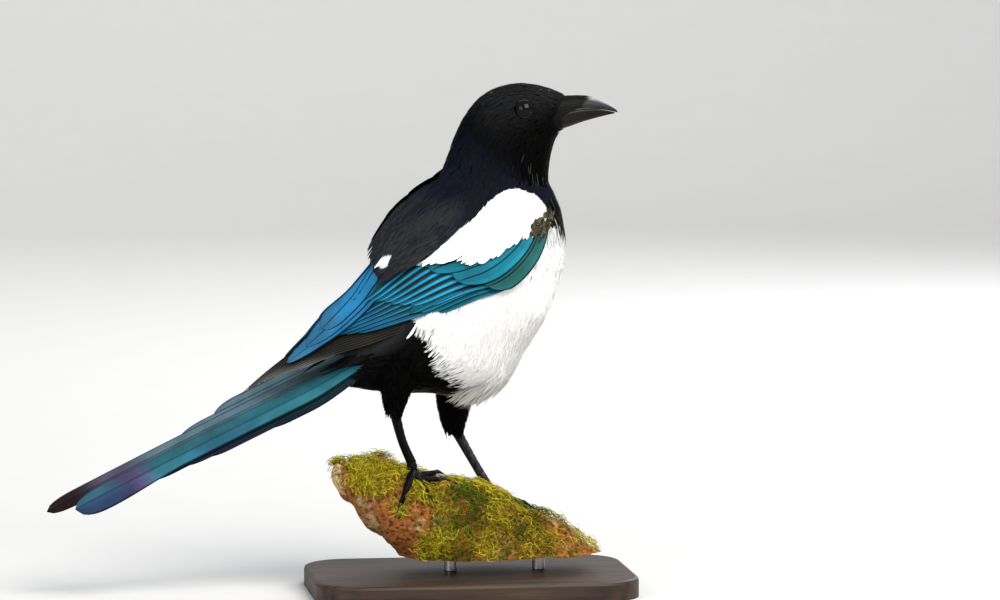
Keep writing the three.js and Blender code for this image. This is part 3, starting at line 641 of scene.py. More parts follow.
class Shader:
    """A material's node tree, built a node at a time."""

    def __init__(self, name, **fixed):
        self.material = bpy.data.materials.new(name)
        self.material.use_nodes = True
        self.tree = self.material.node_tree
        self.principled = self.tree.nodes["Principled BSDF"]
        for socket, value in fixed.items():
            self.principled.inputs[socket.replace("_", " ")].default_value = value

    def add(self, kind, inputs=None, **fields):
        node = self.tree.nodes.new(kind)
        for key, value in fields.items():
            setattr(node, key, value)
        for key, value in (inputs or {}).items():
            self.feed(node.inputs[key], value)
        return node

    def feed(self, socket, value):
        if isinstance(value, bpy.types.NodeSocket):
            self.tree.links.new(value, socket)
        elif hasattr(value, "__len__") and len(value) == 3 and len(socket.default_value) == 4:
            socket.default_value = (*value, 1)
        else:
            socket.default_value = value

    def attribute(self, name, output):
        return self.add("ShaderNodeAttribute", attribute_name=name).outputs[output]

    def position(self):
        return self.add("ShaderNodeTexCoord").outputs["Object"]

    def math(self, operation, a, b=0.0, c=0.0):
        return self.add("ShaderNodeMath", {0: a, 1: b, 2: c}, operation=operation).outputs[0]

    def split(self, vector):
        return self.add("ShaderNodeSeparateXYZ", {0: vector}).outputs

    def noise(self, scale, detail=4.0, vector=None):
        node = self.add("ShaderNodeTexNoise", {"Scale": scale, "Detail": detail})
        self.feed(node.inputs["Vector"], vector or self.position())
        return node.outputs["Fac"]

    def ramp(self, fac, stops):
        """A grey or a colour that changes smoothly from stop to stop."""
        node = self.add("ShaderNodeValToRGB", {"Fac": fac})
        node.color_ramp.interpolation = "EASE"
        elements = node.color_ramp.elements
        while len(elements) < len(stops):
            elements.new(1.0)
        for element, (spot, colour) in zip(elements, stops):
            element.position = spot
            element.color = (*colour, 1) if hasattr(colour, "__len__") else (colour, colour, colour, 1)
        return node.outputs["Color"]

    def mix(self, fac, a, b, blend="MIX"):
        node = self.add("ShaderNodeMix", data_type="RGBA", blend_type=blend)
        self.feed(node.inputs["Factor"], fac)
        self.feed(node.inputs[6], a)
        self.feed(node.inputs[7], b)
        return node.outputs[2]

    def times(self, a, b):
        return self.mix(1.0, a, b, "MULTIPLY")

    def grain(self, scale, detail):
        """Noise drawn out along the piece."""
        stretched = self.add("ShaderNodeMapping", {"Vector": self.position(), "Scale": scale})
        return self.noise(1.0, detail, stretched.outputs[0])

    def bump(self, height, strength, distance):
        node = self.add("ShaderNodeBump", {"Strength": strength, "Distance": distance, "Height": height})
        self.feed(self.principled.inputs["Normal"], node.outputs["Normal"])

    def surface(self, **values):
        for socket, value in values.items():
            self.feed(self.principled.inputs[socket.replace("_", " ")], value)
        return self.material


def barbs(shader, pitch):
    """Fine slanting stripes of a feather's barbs, from 0 to 1, with the distance from the shaft."""
    across, along, _ = shader.split(shader.attribute("vane", "Vector"))
    away = shader.math("ABSOLUTE", across)
    slant = shader.math("SUBTRACT", along, shader.math("MULTIPLY", away, 0.16))
    wobble = shader.math("MULTIPLY", shader.noise(900.0, 2.0), 0.035)
    phase = shader.math("MULTIPLY", shader.math("ADD", slant, wobble), TURN / pitch)
    stripe = shader.math("MULTIPLY_ADD", shader.math("SINE", phase), 0.5, 0.5)
    return stripe, away, across


def small_feather_material(name, roughness, gloss, contrast):
    """Soft body feathers: the leaf's own tint, streaked along its barbs and a little darker along its shaft
    and at its edges.
    """
    shader = Shader(name, Roughness=roughness, Specular_IOR_Level=gloss, IOR=1.45)
    tint = shader.attribute("tint", "Color")
    stripe, away, _ = barbs(shader, 0.06)
    shade = shader.ramp(stripe, [(0.0, 1 - contrast), (1.0, 1.0)])
    streaked = shader.times(tint, shade)
    rim = shader.ramp(away, [(0.0, 0.9), (0.12, 1.0), (0.8, 1.0), (1.0, 0.93)])
    colour = shader.times(streaked, rim)
    mottle = shader.ramp(shader.noise(160.0), [(0.3, 0.92), (0.7, 1.0)])
    shader.bump(stripe, 0.2, 0.0001)
    return shader.surface(Base_Color=shader.times(colour, mottle))


def skin_material():
    """Thin skin and down under the feathers, with the coat's own markings."""
    shader = Shader("skin", Roughness=0.9, Specular_IOR_Level=0.05)
    tint = shader.attribute("tint", "Color")
    pores = shader.noise(700.0, 5.0)
    shader.bump(pores, 0.4, 0.0004)
    return shader.surface(Base_Color=shader.times(tint, shader.ramp(pores, [(0.3, 0.8), (0.7, 1.0)])))


def web_material(name, web, edge, *, stripe_from=0.7, fade=(2.0, 3.0), line=0.15, quill=0.25):
    """A long feather: its web, a brighter outer stripe that spreads over the whole web between the shares
    of the feather's length in fade, a dark rim that is partly its own edging and partly painted shadow where
    the next feather overlaps it, a dark shaft, and fine slanting barbs."""
    shader = Shader(name, Roughness=0.45, Specular_IOR_Level=0.05, IOR=1.5)
    tint = shader.attribute("tint", "Color")
    stripe, away, across = barbs(shader, 0.045)
    outer = shader.math("MULTIPLY_ADD", across, 0.5, 0.5)
    to_edge = shader.ramp(outer, [(0.0, 0.0), (stripe_from, 0.0), (stripe_from + 0.13, 1.0), (1.0, 1.0)])
    share = shader.split(shader.attribute("vane", "Vector"))[2]
    grown = shader.add("ShaderNodeMapRange", {"Value": share, "From Min": fade[0], "From Max": fade[1]},
                       interpolation_type="SMOOTHSTEP").outputs[0]
    to_edge = shader.math("MAXIMUM", to_edge, grown)
    colour = shader.mix(to_edge, shader.times(tint, web), shader.times(tint, edge))
    # Painted shadow: the dark rim at the feather's edges is partly its own dark edging and partly the shadow
    # in the gap where feathers overlap; line is how dark the outer edge gets.
    rim = shader.ramp(outer, [(0.0, 0.4), (0.04, 1.0), (0.93, 1.0), (0.965, line), (1.0, line)])
    shaft = shader.ramp(away, [(0.0, quill), (0.04, quill), (0.08, 1.0)])
    streak = shader.ramp(stripe, [(0.0, 0.86), (1.0, 1.0)])
    patchy = shader.ramp(shader.noise(55.0, 3.0), [(0.3, 0.72), (0.7, 1.12)])
    for shade in (rim, shaft, streak, patchy):
        colour = shader.times(colour, shade)
    shader.bump(stripe, 0.2, 0.0001)
    return shader.surface(Base_Color=colour)


def horn_material(name):
    """Smooth horn in its own tint, with fine grain along it."""
    shader = Shader(name, Roughness=0.4, Specular_IOR_Level=0.12)
    tint = shader.attribute("tint", "Color")
    grain = shader.grain((120, 800, 800), 6.0)
    worn = shader.ramp(grain, [(0.3, 0.7), (0.7, 1.25)])
    shader.bump(grain, 0.15, 0.0003)
    return shader.surface(Base_Color=shader.times(tint, worn))


def leg_material():
    """Scaled skin in its own tint, whose pale blue-grey scale fronts are partly painted highlight, dark
    between the scales.
    """
    shader = Shader("leg_skin", Roughness=0.5, Specular_IOR_Level=0.05)
    tint = shader.attribute("tint", "Color")
    flakes = shader.noise(420.0, 6.0)
    mottle = shader.ramp(flakes, [(0.35, 0.35), (0.6, 1.0), (0.8, 1.5)])
    shader.bump(flakes, 0.3, 0.0004)
    return shader.surface(Base_Color=shader.times(tint, mottle))


def eye_material(iris):
    """A dark wet eye: black pupil, brown iris and a clear front."""
    shader = Shader("eye", Roughness=0.03, Specular_IOR_Level=0.25, IOR=1.33)
    away = shader.split(shader.attribute("vane", "Vector"))[0]
    fibres = shader.noise(1500.0, 3.0)
    brown = shader.mix(fibres, iris, tuple(0.4 * c for c in iris))
    ring = shader.ramp(away, [(0.0, 0.0), (0.36, 0.0), (0.44, 1.0), (0.74, 1.0), (0.84, 0.1)])
    return shader.surface(Base_Color=shader.mix(ring, (0.002, 0.002, 0.002), brown))


def lid_material():
    """Bare wrinkled skin in its own tint."""
    shader = Shader("lids", Roughness=0.6, Specular_IOR_Level=0.05)
    wrinkle = shader.noise(900.0, 4.0)
    shader.bump(wrinkle, 0.5, 0.0003)
    tint = shader.attribute("tint", "Color")
    return shader.surface(Base_Color=shader.times(tint, shader.ramp(wrinkle, [(0.3, 0.6), (0.7, 1.1)])))


def moss_material():
    """Dull moss in each strand's own tint, in lighter and darker patches."""
    shader = Shader("moss", Roughness=0.7, Specular_IOR_Level=0.1)
    tint = shader.attribute("tint", "Color")
    patch = shader.ramp(shader.noise(60.0, 4.0), [(0.25, 0.7), (0.75, 1.15)])
    return shader.surface(Base_Color=shader.times(tint, patch))


def bark_material(bark, moss, wood):
    """Rusty bark with tan scales and dark cracks, and pale torn wood at the broken end."""
    shader = Shader("bark", Roughness=0.88, Specular_IOR_Level=0.2)
    torn = shader.split(shader.attribute("vane", "Vector"))[0]
    rough = shader.noise(75.0, 8.0)
    fine = shader.noise(420.0, 6.0)
    tan = tuple(0.55 * w for w in wood)
    skin = shader.mix(shader.ramp(rough, [(0.55, 0.0), (0.68, 1.0)]), bark, tan)
    green = shader.ramp(shader.noise(30.0, 5.0), [(0.5, 0.0), (0.68, 0.55)])
    skin = shader.mix(green, skin, tuple(0.35 * c for c in moss))
    crack = shader.ramp(fine, [(0.32, 0.2), (0.55, 1.0)])
    fibres = shader.grain((60, 500, 350), 5.0)
    broken = shader.mix(shader.ramp(fibres, [(0.3, 0.0), (0.7, 1.0)]), tuple(0.45 * c for c in wood), wood)
    shader.bump(shader.math("ADD", rough, fine), 0.9, 0.002)
    return shader.surface(Base_Color=shader.mix(torn, shader.times(skin, crack), broken))


def stand_wood_material():
    """Dark stained hardwood with a satin finish."""
    shader = Shader("stand_wood", Roughness=0.5, Specular_IOR_Level=0.25)
    grain = shader.grain((14, 190, 190), 7.0)
    colour = shader.ramp(grain, [
        (0.3, (0.012, 0.007, 0.005)), (0.55, (0.034, 0.019, 0.012)), (0.75, (0.06, 0.034, 0.02))])
    shader.bump(grain, 0.08, 0.0003)
    return shader.surface(Base_Color=colour)


def stand_metal_material():
    """Satin steel rods."""
    shader = Shader("stand_metal", Metallic=1.0, Roughness=0.3)
    lines = shader.grain((200, 200, 2500), 3.0)
    colour = shader.ramp(lines, [(0.3, (0.36, 0.34, 0.31)), (0.7, (0.55, 0.53, 0.5))])
    return shader.surface(Base_Color=colour)


# Skin

def closed_grid(surface, places, angles, lift):
    """A closed tube of points over a surface, with its ends drawn together."""
    p, a = np.meshgrid(np.linspace(*places), np.linspace(*angles), indexing="ij")
    return closed_loft(surface(p, a, lift))


def skin_parts():
    """The closed forms that the skin is drawn over: body, thighs and the arms under the wings' feathers."""
    turn = (0, TURN * 95 / 96, 96)
    place, angle = np.meshgrid(np.linspace(0, 18.6, 190), np.linspace(*turn), indexing="ij")
    parts = [closed_loft(body_surface(place, angle, -COAT_DEPTH - 7 * smoothstep(place, 15.8, 17.6)))]
    for leg in LEGS.values():
        parts.append(closed_grid(tube_surface(leg["thigh"], leg["thigh_radii"]), (0, 1, 40), turn, -1.6))
    for side in SIDES.values():
        surface = wing_surface(side)
        rings = []
        for place in np.linspace(0.15, 6.4, 60):
            outer = -2.4 - 3.8 * smoothstep(place, 0, 1.4) - 2.6 * smoothstep(place, 2.4, 4.3)
            across = np.linspace(lerp(0.04, 0.34, smoothstep(place, 3.8, 6.5)), 0.95, 24)
            over = surface(place, across, outer)
            under = surface(place, across[::-1], outer - 4)
            rings.append(np.concatenate([over, under]))
        parts.append(closed_loft(rings))
    return parts


class MAGPIE_OT_skin(bpy.types.Operator):
    """One closed skin for the head, neck, body, thighs and arms, under the feathers"""
    bl_idname = "magpie.skin"
    bl_label = "Skin"

    def execute(self, context):
        points, faces = join_parts(skin_parts())
        rough = bpy.data.meshes.new("skin_rough")
        rough.from_pydata((points * MM).tolist(), [], faces.tolist())
        shape = bpy.data.objects.new("skin_rough", rough)
        context.scene.collection.objects.link(shape)
        remesh = shape.modifiers.new("one surface", "REMESH")
        remesh.mode = "VOXEL"
        remesh.voxel_size = SKIN_VOXEL * MM
        soften = shape.modifiers.new("soften", "SMOOTH")
        soften.iterations = 4
        whole = bpy.data.meshes.new_from_object(shape.evaluated_get(context.evaluated_depsgraph_get()))
        bpy.data.objects.remove(shape)
        count = len(whole.vertices)
        found = np.empty(count * 3)
        whole.vertices.foreach_get("co", found)
        found = found.reshape(-1, 3) / MM
        corners = np.empty(len(whole.polygons) * 4, np.int32)
        whole.loops.foreach_get("vertex_index", corners)
        tint, uv = self.markings(found)
        skin = add_object("skin", found, corners.reshape(-1, 4), skin_material(), tint=tint, uv=uv,
                          slot="black_plumage")
        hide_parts("head", "neck", "torso", "thigh_left", "thigh_right")
        return {"FINISHED"}

    @staticmethod
    def markings(found):
        """Each skin point's colour and map place, from the nearest point of the body's own sections."""
        p, a = np.meshgrid(np.linspace(0, BODY_LAST, 160), np.linspace(0, TURN, 96), indexing="ij")
        p, a = p.ravel(), a.ravel()
        near = body_surface(p, a, -COAT_DEPTH)
        tree = kdtree.KDTree(len(near))
        for i, point in enumerate(near):
            tree.insert(point, i)
        tree.balance()
        index = np.array([tree.find(point)[1] for point in found])
        tint = body_tint(p[index], a[index], near[index])
        thighs = (found[:, 2] < 132) & (np.abs(found[:, 1]) > 5) & (p[index] > 14)
        tint[thighs] = np.array(settings("coat").black)
        uv = np.column_stack([0.002 + 0.99 * p[index] / BODY_LAST, 0.002 + 0.99 * a[index] / TURN])
        return tint, uv


# Small feathers

# The edges of the part of the flank that a folded wing hides, x and z, and the colour of the throat's shafts.
HIDDEN_FROM = np.array([
    [-110, 139], [-84, 151], [-60, 158], [-38, 167], [-20, 176], [0, 184], [22, 194], [36, 208], [42, 226]])
HIDDEN_TO = np.array([
    [-110, 141], [-88, 158], [-62, 190], [-44, 218], [-31, 230], [-18, 240], [0, 238], [42, 226]])
PALE_SHAFT = np.array([0.05, 0.05, 0.045])


def bill_covered(points):
    """Which points of the face lie where the bill stands out of it, or on an eye."""
    turned = yawed(points, -1.0)
    x, z, y = turned[:, 0], turned[:, 2], np.abs(turned[:, 1])
    bill = (x > 50 + 0.6 * np.abs(z - 286)) & (z > 274) & (z < 300)
    eye = (np.hypot(x - EYE_X, z - EYE_Z) < 5.6) & (y > 8)
    return bill | eye


def under_wing(points):
    """Which points of the body the folded wings and their shoulder feathers hide well."""
    x, z, y = points[:, 0], points[:, 2], np.abs(points[:, 1])
    lower = np.interp(x, *HIDDEN_FROM.T)
    upper = np.interp(x, *HIDDEN_TO.T)
    return (z > lower + 1.5) & (z < upper - 6) & (y > 9)


def on_tail(points):
    """Which points lie behind the line where the tail's roots come out of the vent."""
    x, y, z = points.T
    return (x < np.interp(z, VENT_END[:, 1], VENT_END[:, 0])) & (z > 116) & (z < 147) & (np.abs(y) > 4)


def coat_piece(name, region, lengths, widths, material, slot, *, template=LEAF, rise=(-1.6, 0.5), tilt=0.12,
               tinted=None, ragged=0.25, spread=0.22, uneven=0.5, black_only=False):
    """One piece of the small coat from (places, angles, pitch, seed)."""
    place, angle, rng = scatter(body_surface, *region)
    points = body_surface(place, angle, 0)
    chosen = ~bill_covered(points) & ~under_wing(points)
    chosen &= ~on_tail(body_surface(place + 0.5, angle, 0))
    chosen &= ~in_white(body_surface(place + 0.9, angle, 0)) | (body_whiteness(place, angle, points) > 0.5)
    if black_only:
        chosen &= body_whiteness(place, angle, points) < 0.5
    place, angle, points = place[chosen], angle[chosen], points[chosen]
    vary = 0.8 + 0.4 * rng.random(len(place))
    vary = vary * (1 - 0.45 * on_tail(body_surface(place + 1.1, angle, 0)))
    length = (lengths(place, angle) if callable(lengths) else lengths) * vary
    width = (widths(place, angle) if callable(widths) else widths) * (0.85 + 0.3 * rng.random(len(place)))
    turn = (rng.random(len(place)) - 0.5) * 2 * tilt
    stand = rise[1] + (rng.random(len(place)) - 0.5) * uneven
    each, laid, faces, flat = lay_leaves(
        body_surface, place, angle, length, width, template=template, turn=turn, rise=(rise[0], stand),
        wrap=BODY_WRAP)
    jitter = (rng.random(len(place)) - 0.5) * 2 * ragged
    colour = body_tint(place + 0.3, angle, points, jitter)
    if tinted is not None:
        colour = tinted(colour, place, angle, rng)
    tint = leaf_tints(colour, each, rng, spread)
    return add_object(name, laid, faces, material, tint=tint, slot=slot, **flat)


def streaked_throat(colour, place, angle, rng):
    """The throat's long narrow feathers have pale grey shafts here and there."""
    around = folded_angle(angle)
    zone = smoothstep(place, 3.6, 5.0) * (1 - smoothstep(place, 8.0, 9.0)) * smoothstep(around, 1.75, 2.3)
    pale = (rng.random(len(place)) < 0.2 * zone)[:, None]
    return np.where(pale, PALE_SHAFT, colour)


class MAGPIE_OT_head_coat(bpy.types.Operator):
    """Fine hair-like feathers of the face, crown, chin and throat"""
    bl_idname = "magpie.head_coat"
    bl_label = "Head feathers"

    def execute(self, context):
        material = small_feather_material("head_feathers", 0.55, 0.02, 0.3)
        coat_piece(
            "coat_head", ((0.15, 6.6), (0, TURN), lambda p, a: 0.95 + 0.08 * p, 1),
            lambda p, a: 3.4 + 0.8 * p, lambda p, a: 0.75 + 0.07 * p, material, "black_plumage",
            rise=(-0.8, 0.0), tilt=0.12, tinted=streaked_throat, spread=0.25)
        coat_piece(
            "coat_throat", ((4.2, 9.6), (1.9, 4.4), 1.6, 2), lambda p, a: 8 + 0.4 * p, 0.6, material,
            "black_plumage", template=HAIR, rise=(-1.0, 1.3), tilt=0.16, tinted=streaked_throat, spread=0.25)
        return {"FINISHED"}


class MAGPIE_OT_body_coat(bpy.types.Operator):
    """Feathers of the neck, breast, back, belly and vent"""
    bl_idname = "magpie.body_coat"
    bl_label = "Body feathers"

    def execute(self, context):
        dark = small_feather_material("dark_feathers", 0.5, 0.03, 0.3)
        pale = small_feather_material("pale_feathers", 0.8, 0.06, 0.05)
        coat_piece(
            "coat_neck", ((6.0, 10.8), (0, TURN), 1.45, 3), lambda p, a: 8 + 0.8 * (p - 6),
            lambda p, a: 1.2 + 0.15 * (p - 6), dark, "black_plumage", rise=(-0.9, 0.05), tilt=0.1)
        coat_piece(
            "coat_back", ((9.8, 19), (-0.95, 0.95), 1.8, 4), 15, 2.0, dark, "black_plumage", rise=(-1.0, 0.1))
        coat_piece(
            "coat_belly", ((9.3, 18.2), (0.95, TURN - 0.95), 1.75, 5),
            lambda p, a: 12 + 0.4 * (p - 9), 1.7, pale, "white_plumage", rise=(-0.6, 0.0), ragged=0.1,
            spread=0.02, uneven=0.15)
        coat_piece(
            "coat_belly_fringe", ((12.6, 19.4), (1.2, TURN - 1.2), 1.5, 6), 9, 0.4, pale, "white_plumage",
            template=HAIR, rise=(-1.2, 0.9), tilt=0.2, ragged=0.3, spread=0.05)
        coat_piece(
            "coat_vent", ((13.9, 17.4), (1.3, TURN - 1.3), 2.4, 9), 14, 3.0, dark, "black_plumage",
            rise=(-1.2, 1.5), tilt=0.4, spread=0.6, uneven=1.4, black_only=True)
        self.belly_tuft(pale)
        return {"FINISHED"}

    @staticmethod
    def belly_tuft(material):
        """Long loose feathers that hang from the belly's lowest part, in front of the left thigh."""
        place, angle, rng = scatter(body_surface, (13.8, 15.6), (math.pi - 0.7, math.pi + 0.7), 1.1, 8)
        length = 12 + 8 * rng.random(len(place))
        end = smoothstep(place, 14.0, 15.2)
        out = 0.4 + 2.6 * rng.random(len(place)) * end
        each, laid, faces, flat = lay_leaves(
            body_surface, place, angle, length, 0.9, turn=(rng.random(len(place)) - 0.5) * 0.4,
            rise=(-1.2, out), wrap=BODY_WRAP)
        hang = (1 + 7 * rng.random(len(place))) * end
        laid[:, 2] -= np.tile(LEAF[0][:, 1] ** 1.5, len(place)) * np.repeat(hang, each)
        coat = settings("coat")
        warm = 0.5 * (rng.random(len(place)) * end)[:, None]
        colour = lerp(np.array(coat.white), np.array(coat.cream), warm)
        add_object("coat_belly_tuft", laid, faces, material, tint=leaf_tints(colour, each, rng, 0.05),
                   slot="white_plumage", **flat)


class MAGPIE_OT_thigh_coat(bpy.types.Operator):
    """Loose black feathers of the thighs"""
    bl_idname = "magpie.thigh_coat"
    bl_label = "Thigh feathers"

    def execute(self, context):
        material = small_feather_material("thigh_feathers", 0.6, 0.012, 0.3)
        for number, (name, leg) in enumerate(LEGS.items()):
            surface = tube_surface(leg["thigh"], leg["thigh_radii"])
            place, angle, rng = scatter(surface, (-0.1, 0.86), (0, TURN), 1.75, 20 + number)
            turn = (rng.random(len(place)) - 0.5) * 0.4
            length = 8.5 * (0.75 + 0.4 * rng.random(len(place)))
            each, laid, faces, flat = lay_leaves(surface, place, angle, length, 2.1, turn=turn,
                                                 rise=(-1.4, 0.2 + 0.8 * rng.random(len(place))))
            colour = np.tile(np.array(settings("coat").black), (len(place), 1))
            add_object(f"coat_thigh_{name}", laid, faces, material, tint=leaf_tints(colour, each, rng, 0.5),
                       slot="black_plumage", **flat)
        return {"FINISHED"}


# Long feathers

VANE = 0.22
LAYER = 0.42
PRIMARY_DARK = np.array([0.010, 0.0095, 0.009])
COVERT_DARK = np.array([0.012, 0.016, 0.02])
WRIST_OLIVE = np.array([0.055, 0.052, 0.03])
# Crossing places of a vane's points, as shares of its width from the shaft: inner web, shaft, outer web.
ACROSS = np.array([-0.58, -0.46, -0.3, -0.12, 0.0, 0.1, 0.24, 0.36, 0.42])


def vane_plate(top, bottom):
    """Points and faces of one closed thin plate between two like grids."""
    long, wide = top.shape[:2]
    under = long * wide
    points = np.concatenate([top.reshape(-1, 3), bottom.reshape(-1, 3)])
    over = grid_faces(long, wide, wrap=False)
    faces = [over, over[:, ::-1] + under]
    row = np.arange(long - 1) * wide
    faces.append(np.stack([row, row + wide, row + wide + under, row + under], axis=-1))
    edge = row + wide - 1
    faces.append(np.stack([edge, edge + under, edge + wide + under, edge + wide], axis=-1))
    k = np.arange(wide - 1)
    faces.append(np.stack([k, k + under, k + 1 + under, k + 1], axis=-1))
    end = (long - 1) * wide + k
    faces.append(np.stack([end, end + 1, end + 1 + under, end + under], axis=-1))
    return points, np.concatenate(faces)


def rounded_width(share):
    """A wing feather's width towards its rounded tip."""
    return np.maximum(0.03, np.sqrt(1 - np.clip((share - 0.8) / (1 - 0.8), 0, 1) ** 2.2))


def pointed_width(share):
    """A tail covert's width towards its pointed tip."""
    return np.maximum(0.03, 1 - np.clip((share - 0.5) / (1 - 0.5), 0, 1) ** 1.5)


def strip_uv(number, count, shares, across):
    """Each long feather's own strip of the map."""
    high = (number + 0.1 + 0.8 * (across - across.min()) / np.ptp(across)) / count
    u, v = np.meshgrid(0.01 + 0.98 * shares, high, indexing="ij")
    flat = np.stack([u, v], axis=-1).reshape(-1, 2)
    return np.concatenate([flat, flat])


# Rows of a folded wing's feathers, in the order of the solids, with the real bird's numbers.
TIERS = [
    {"name": "primaries", "count": 9, "at": (0.74, 1.0), "to": (0.3, 0.97), "root": 4.0, "tips": (10, 7.9),
     "wide": 3.2, "lift": lambda s: lerp(-4.6, -2.4, smoothstep(s, 4.6, 6.5))},
    {"name": "secondaries", "count": 8, "at": (0.44, 0.97), "to": (0.36, 0.72), "root": 2.9,
     "tips": (7.7, 6.0), "wide": 2.2,
     "lift": lambda s: -4.2 + 2.1 * smoothstep(s, 2.9, 5) + 1.9 * smoothstep(s, 5, 6.3)},
    {"name": "tertials", "count": 3, "at": (0.2, 0.34), "to": (0.62, 0.74), "root": 3.0, "tips": (6.55, 8.15),
     "wide": 7.5, "lift": lambda s: -3.4 + 2.0 * smoothstep(s, 3, 5) + 2.1 * smoothstep(s, 5, 6.3)},
    {"name": "primary_coverts", "count": 4, "at": (0.88, 1.0), "to": (0.86, 1.0), "root": 2.2,
     "tips": (4.5, 4.0), "wide": 2.0, "lift": lambda s: lerp(-2.4, -1.0, smoothstep(s, 2.0, 3.6))},
    {"name": "greater_coverts", "count": 8, "at": (0.44, 0.93), "to": (0.405, 0.86), "root": 1.5,
     "tips": (5.2, 4.2), "wide": 2.1, "lift": lambda s: lerp(-2.1, -1.1, smoothstep(s, 1.9, 3.4))},
    {"name": "median_coverts", "count": 3, "at": (0.82, 0.95), "to": (0.68, 0.91), "root": -0.1,
     "tips": (3.0, 2.5), "wide": 2.4, "lift": lambda s: lerp(-0.6, 0.1, smoothstep(s, 0.3, 1.8))},
    {"name": "alula", "count": 2, "at": (0.92, 1.01), "to": (0.87, 1.0), "root": 0.1, "tips": (2.8, 2.45),
     "wide": 1.9, "lift": lambda s: lerp(-0.4, 0.5, smoothstep(s, 0.3, 1.6))},
]


def tier_feathers(side, tier, colour_of):
    """The feathers of one row of a wing, as closed vanes over the wing's surface."""
    surface = wing_surface(side)
    parts = []
    layer = LAYER * min(1.0, 2.5 / tier["wide"])
    for i in range(tier["count"]):
        share = i / (tier["count"] - 1)
        tip = lerp(*tier["tips"], share) + 0.06 * math.sin(5 * i + 1)
        f = np.concatenate([np.linspace(0, 0.8, 14), np.linspace(0.8, 1, 9)[1:]])
        place = tier["root"] + (tip - tier["root"]) * f
        reach = smoothstep(place, tier["root"], max(tier["tips"]))
        first, last = (lerp(tier["at"][k], tier["to"][k], reach) for k in (0, 1))
        pitch = (last - first) / (tier["count"] - 1)
        edge = lerp(first, last, share)
        full = tier["wide"] * pitch
        shaft = edge - 0.42 * full
        inner = np.minimum(0.58 * full, shaft - 0.02)
        web = np.where(ACROSS < 0, ACROSS / 0.58 * inner[:, None], ACROSS * full[:, None])
        across = shaft[:, None] + web * rounded_width(f)[:, None]
        sunk = 2.2 * (1 - smoothstep(place, tier["root"], tier["root"] + 0.5))
        lift = (tier["lift"](place) - sunk)[:, None] - layer * (edge[:, None] - across) / pitch[:, None]
        lift = lift + 0.25 * np.exp(-(ACROSS / 0.035) ** 2) * (1 - f)[:, None]
        thick = (VANE * (1 - 0.6 * f ** 3))[:, None]
        top = surface(place[:, None], across, lift)
        bottom = surface(place[:, None], across, lift - thick)
        points, faces = vane_plate(top, bottom)
        unit = np.where(ACROSS < 0, ACROSS / 0.58, ACROSS / 0.42)
        travelled = np.linalg.norm(np.diff(top[:, 4], axis=0), axis=1).cumsum()
        along = np.concatenate([[0], travelled]) / 10
        one = np.stack(np.broadcast_arrays(unit, along[:, None], f[:, None]), axis=-1).reshape(-1, 3)
        tint = colour_of(share, f)[:, None, :] * np.ones((1, len(ACROSS), 1))
        tint = np.tile(tint.reshape(-1, 3), (2, 1))
        uv = strip_uv(i, tier["count"], f, unit)
        parts.append((points, faces, np.tile(one, (2, 1)), uv, tint))
    return join_parts(parts)


def plain_tint(share, f):
    """The web's own colours all along."""
    return np.ones((len(f), 3))


def alula_tint(share, f):
    """Teal, the lowest feather dull olive."""
    return np.tile(lerp(np.ones(3), np.array([1.9, 0.6, 0.42]), share), (len(f), 1))


def secondary_tint(share, f):
    """Bright where they come out of the coverts, and darker towards their tips and the wing's lower edge."""
    bright = (1.5 - 0.6 * smoothstep(f, 0.4, 0.9)) * (1 - 0.3 * share * smoothstep(f, 0.6, 1.0))
    return np.stack([bright, bright, bright * (1 - 0.15 * f)], axis=-1)


def primary_tint(share, f):
    """Black-brown, greyer towards the worn tips."""
    worn = smoothstep(f, 0.7, 1.0)[:, None]
    return 1 + worn * np.array([[6.0, 6.4, 7.2]])


def tertial_tint(share, f):
    """Blue, duller and greener at the tips."""
    dull = smoothstep(f, 0.72, 1.0)[:, None]
    return np.array([[1.0, 1.0, 1.0]]) + dull * (np.array([[1.7, 0.75, 0.6]]) - 1)


class MAGPIE_OT_wings(bpy.types.Operator):
    """The folded wings' primaries, secondaries and coverts, feather by feather"""
    bl_idname = "magpie.wings"
    bl_label = "Wing feathers"

    def execute(self, context):
        flight = settings("flight")
        blue, teal, olive, edge = (np.array(c) for c in (flight.blue, flight.teal, flight.olive, flight.edge))
        finishes = {
            "primaries": (web_material("primaries", PRIMARY_DARK, edge, stripe_from=0.84), primary_tint),
            "secondaries": (web_material("secondaries", olive, blue, stripe_from=0.7, fade=(0.45, 0.85)),
                            secondary_tint),
            "tertials": (web_material("tertials", (0.013, 0.122, 0.25), (0.016, 0.14, 0.29), fade=(0.0, 0.3)),
                         tertial_tint),
            "primary_coverts": (web_material("primary_coverts", 0.45 * teal, 0.8 * teal, line=0.06),
                                plain_tint),
            "greater_coverts": (web_material("greater_coverts", 0.9 * olive, 0.84 * (blue + teal),
                                             stripe_from=0.66, fade=(0.7, 1.3)), plain_tint),
            "alula": (web_material("alula", 0.8 * teal, 1.05 * teal, line=0.06), alula_tint),
            "median_coverts": (web_material("median_coverts", 0.7 * teal, 0.8 * teal, line=0.3), plain_tint),
        }
        for name, side in SIDES.items():
            for tier in TIERS:
                material, colour_of = finishes[tier["name"]]
                points, faces, vane, uv, tint = tier_feathers(side, tier, colour_of)
                piece = add_object(f"{tier['name']}_{name}", points, faces, material, tint=tint, vane=vane,
                                   uv=uv, slot="wing_plumage")
                if tier["name"] == "secondaries":
                    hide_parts(f"wing_{name}")
        return {"FINISHED"}


def travel(surface, place, across, length):
    """How far along a wing, in places, a small feather of this length reaches."""
    step = 0.1
    ahead = surface(place + step, across, 0) - surface(place - step, across, 0)
    return length / (np.linalg.norm(ahead, axis=-1) / (2 * step))


def tips_of(surface, place, across, length):
    """Where small feathers of a wing end."""
    return surface(place + travel(surface, place, across, length), across, 0)


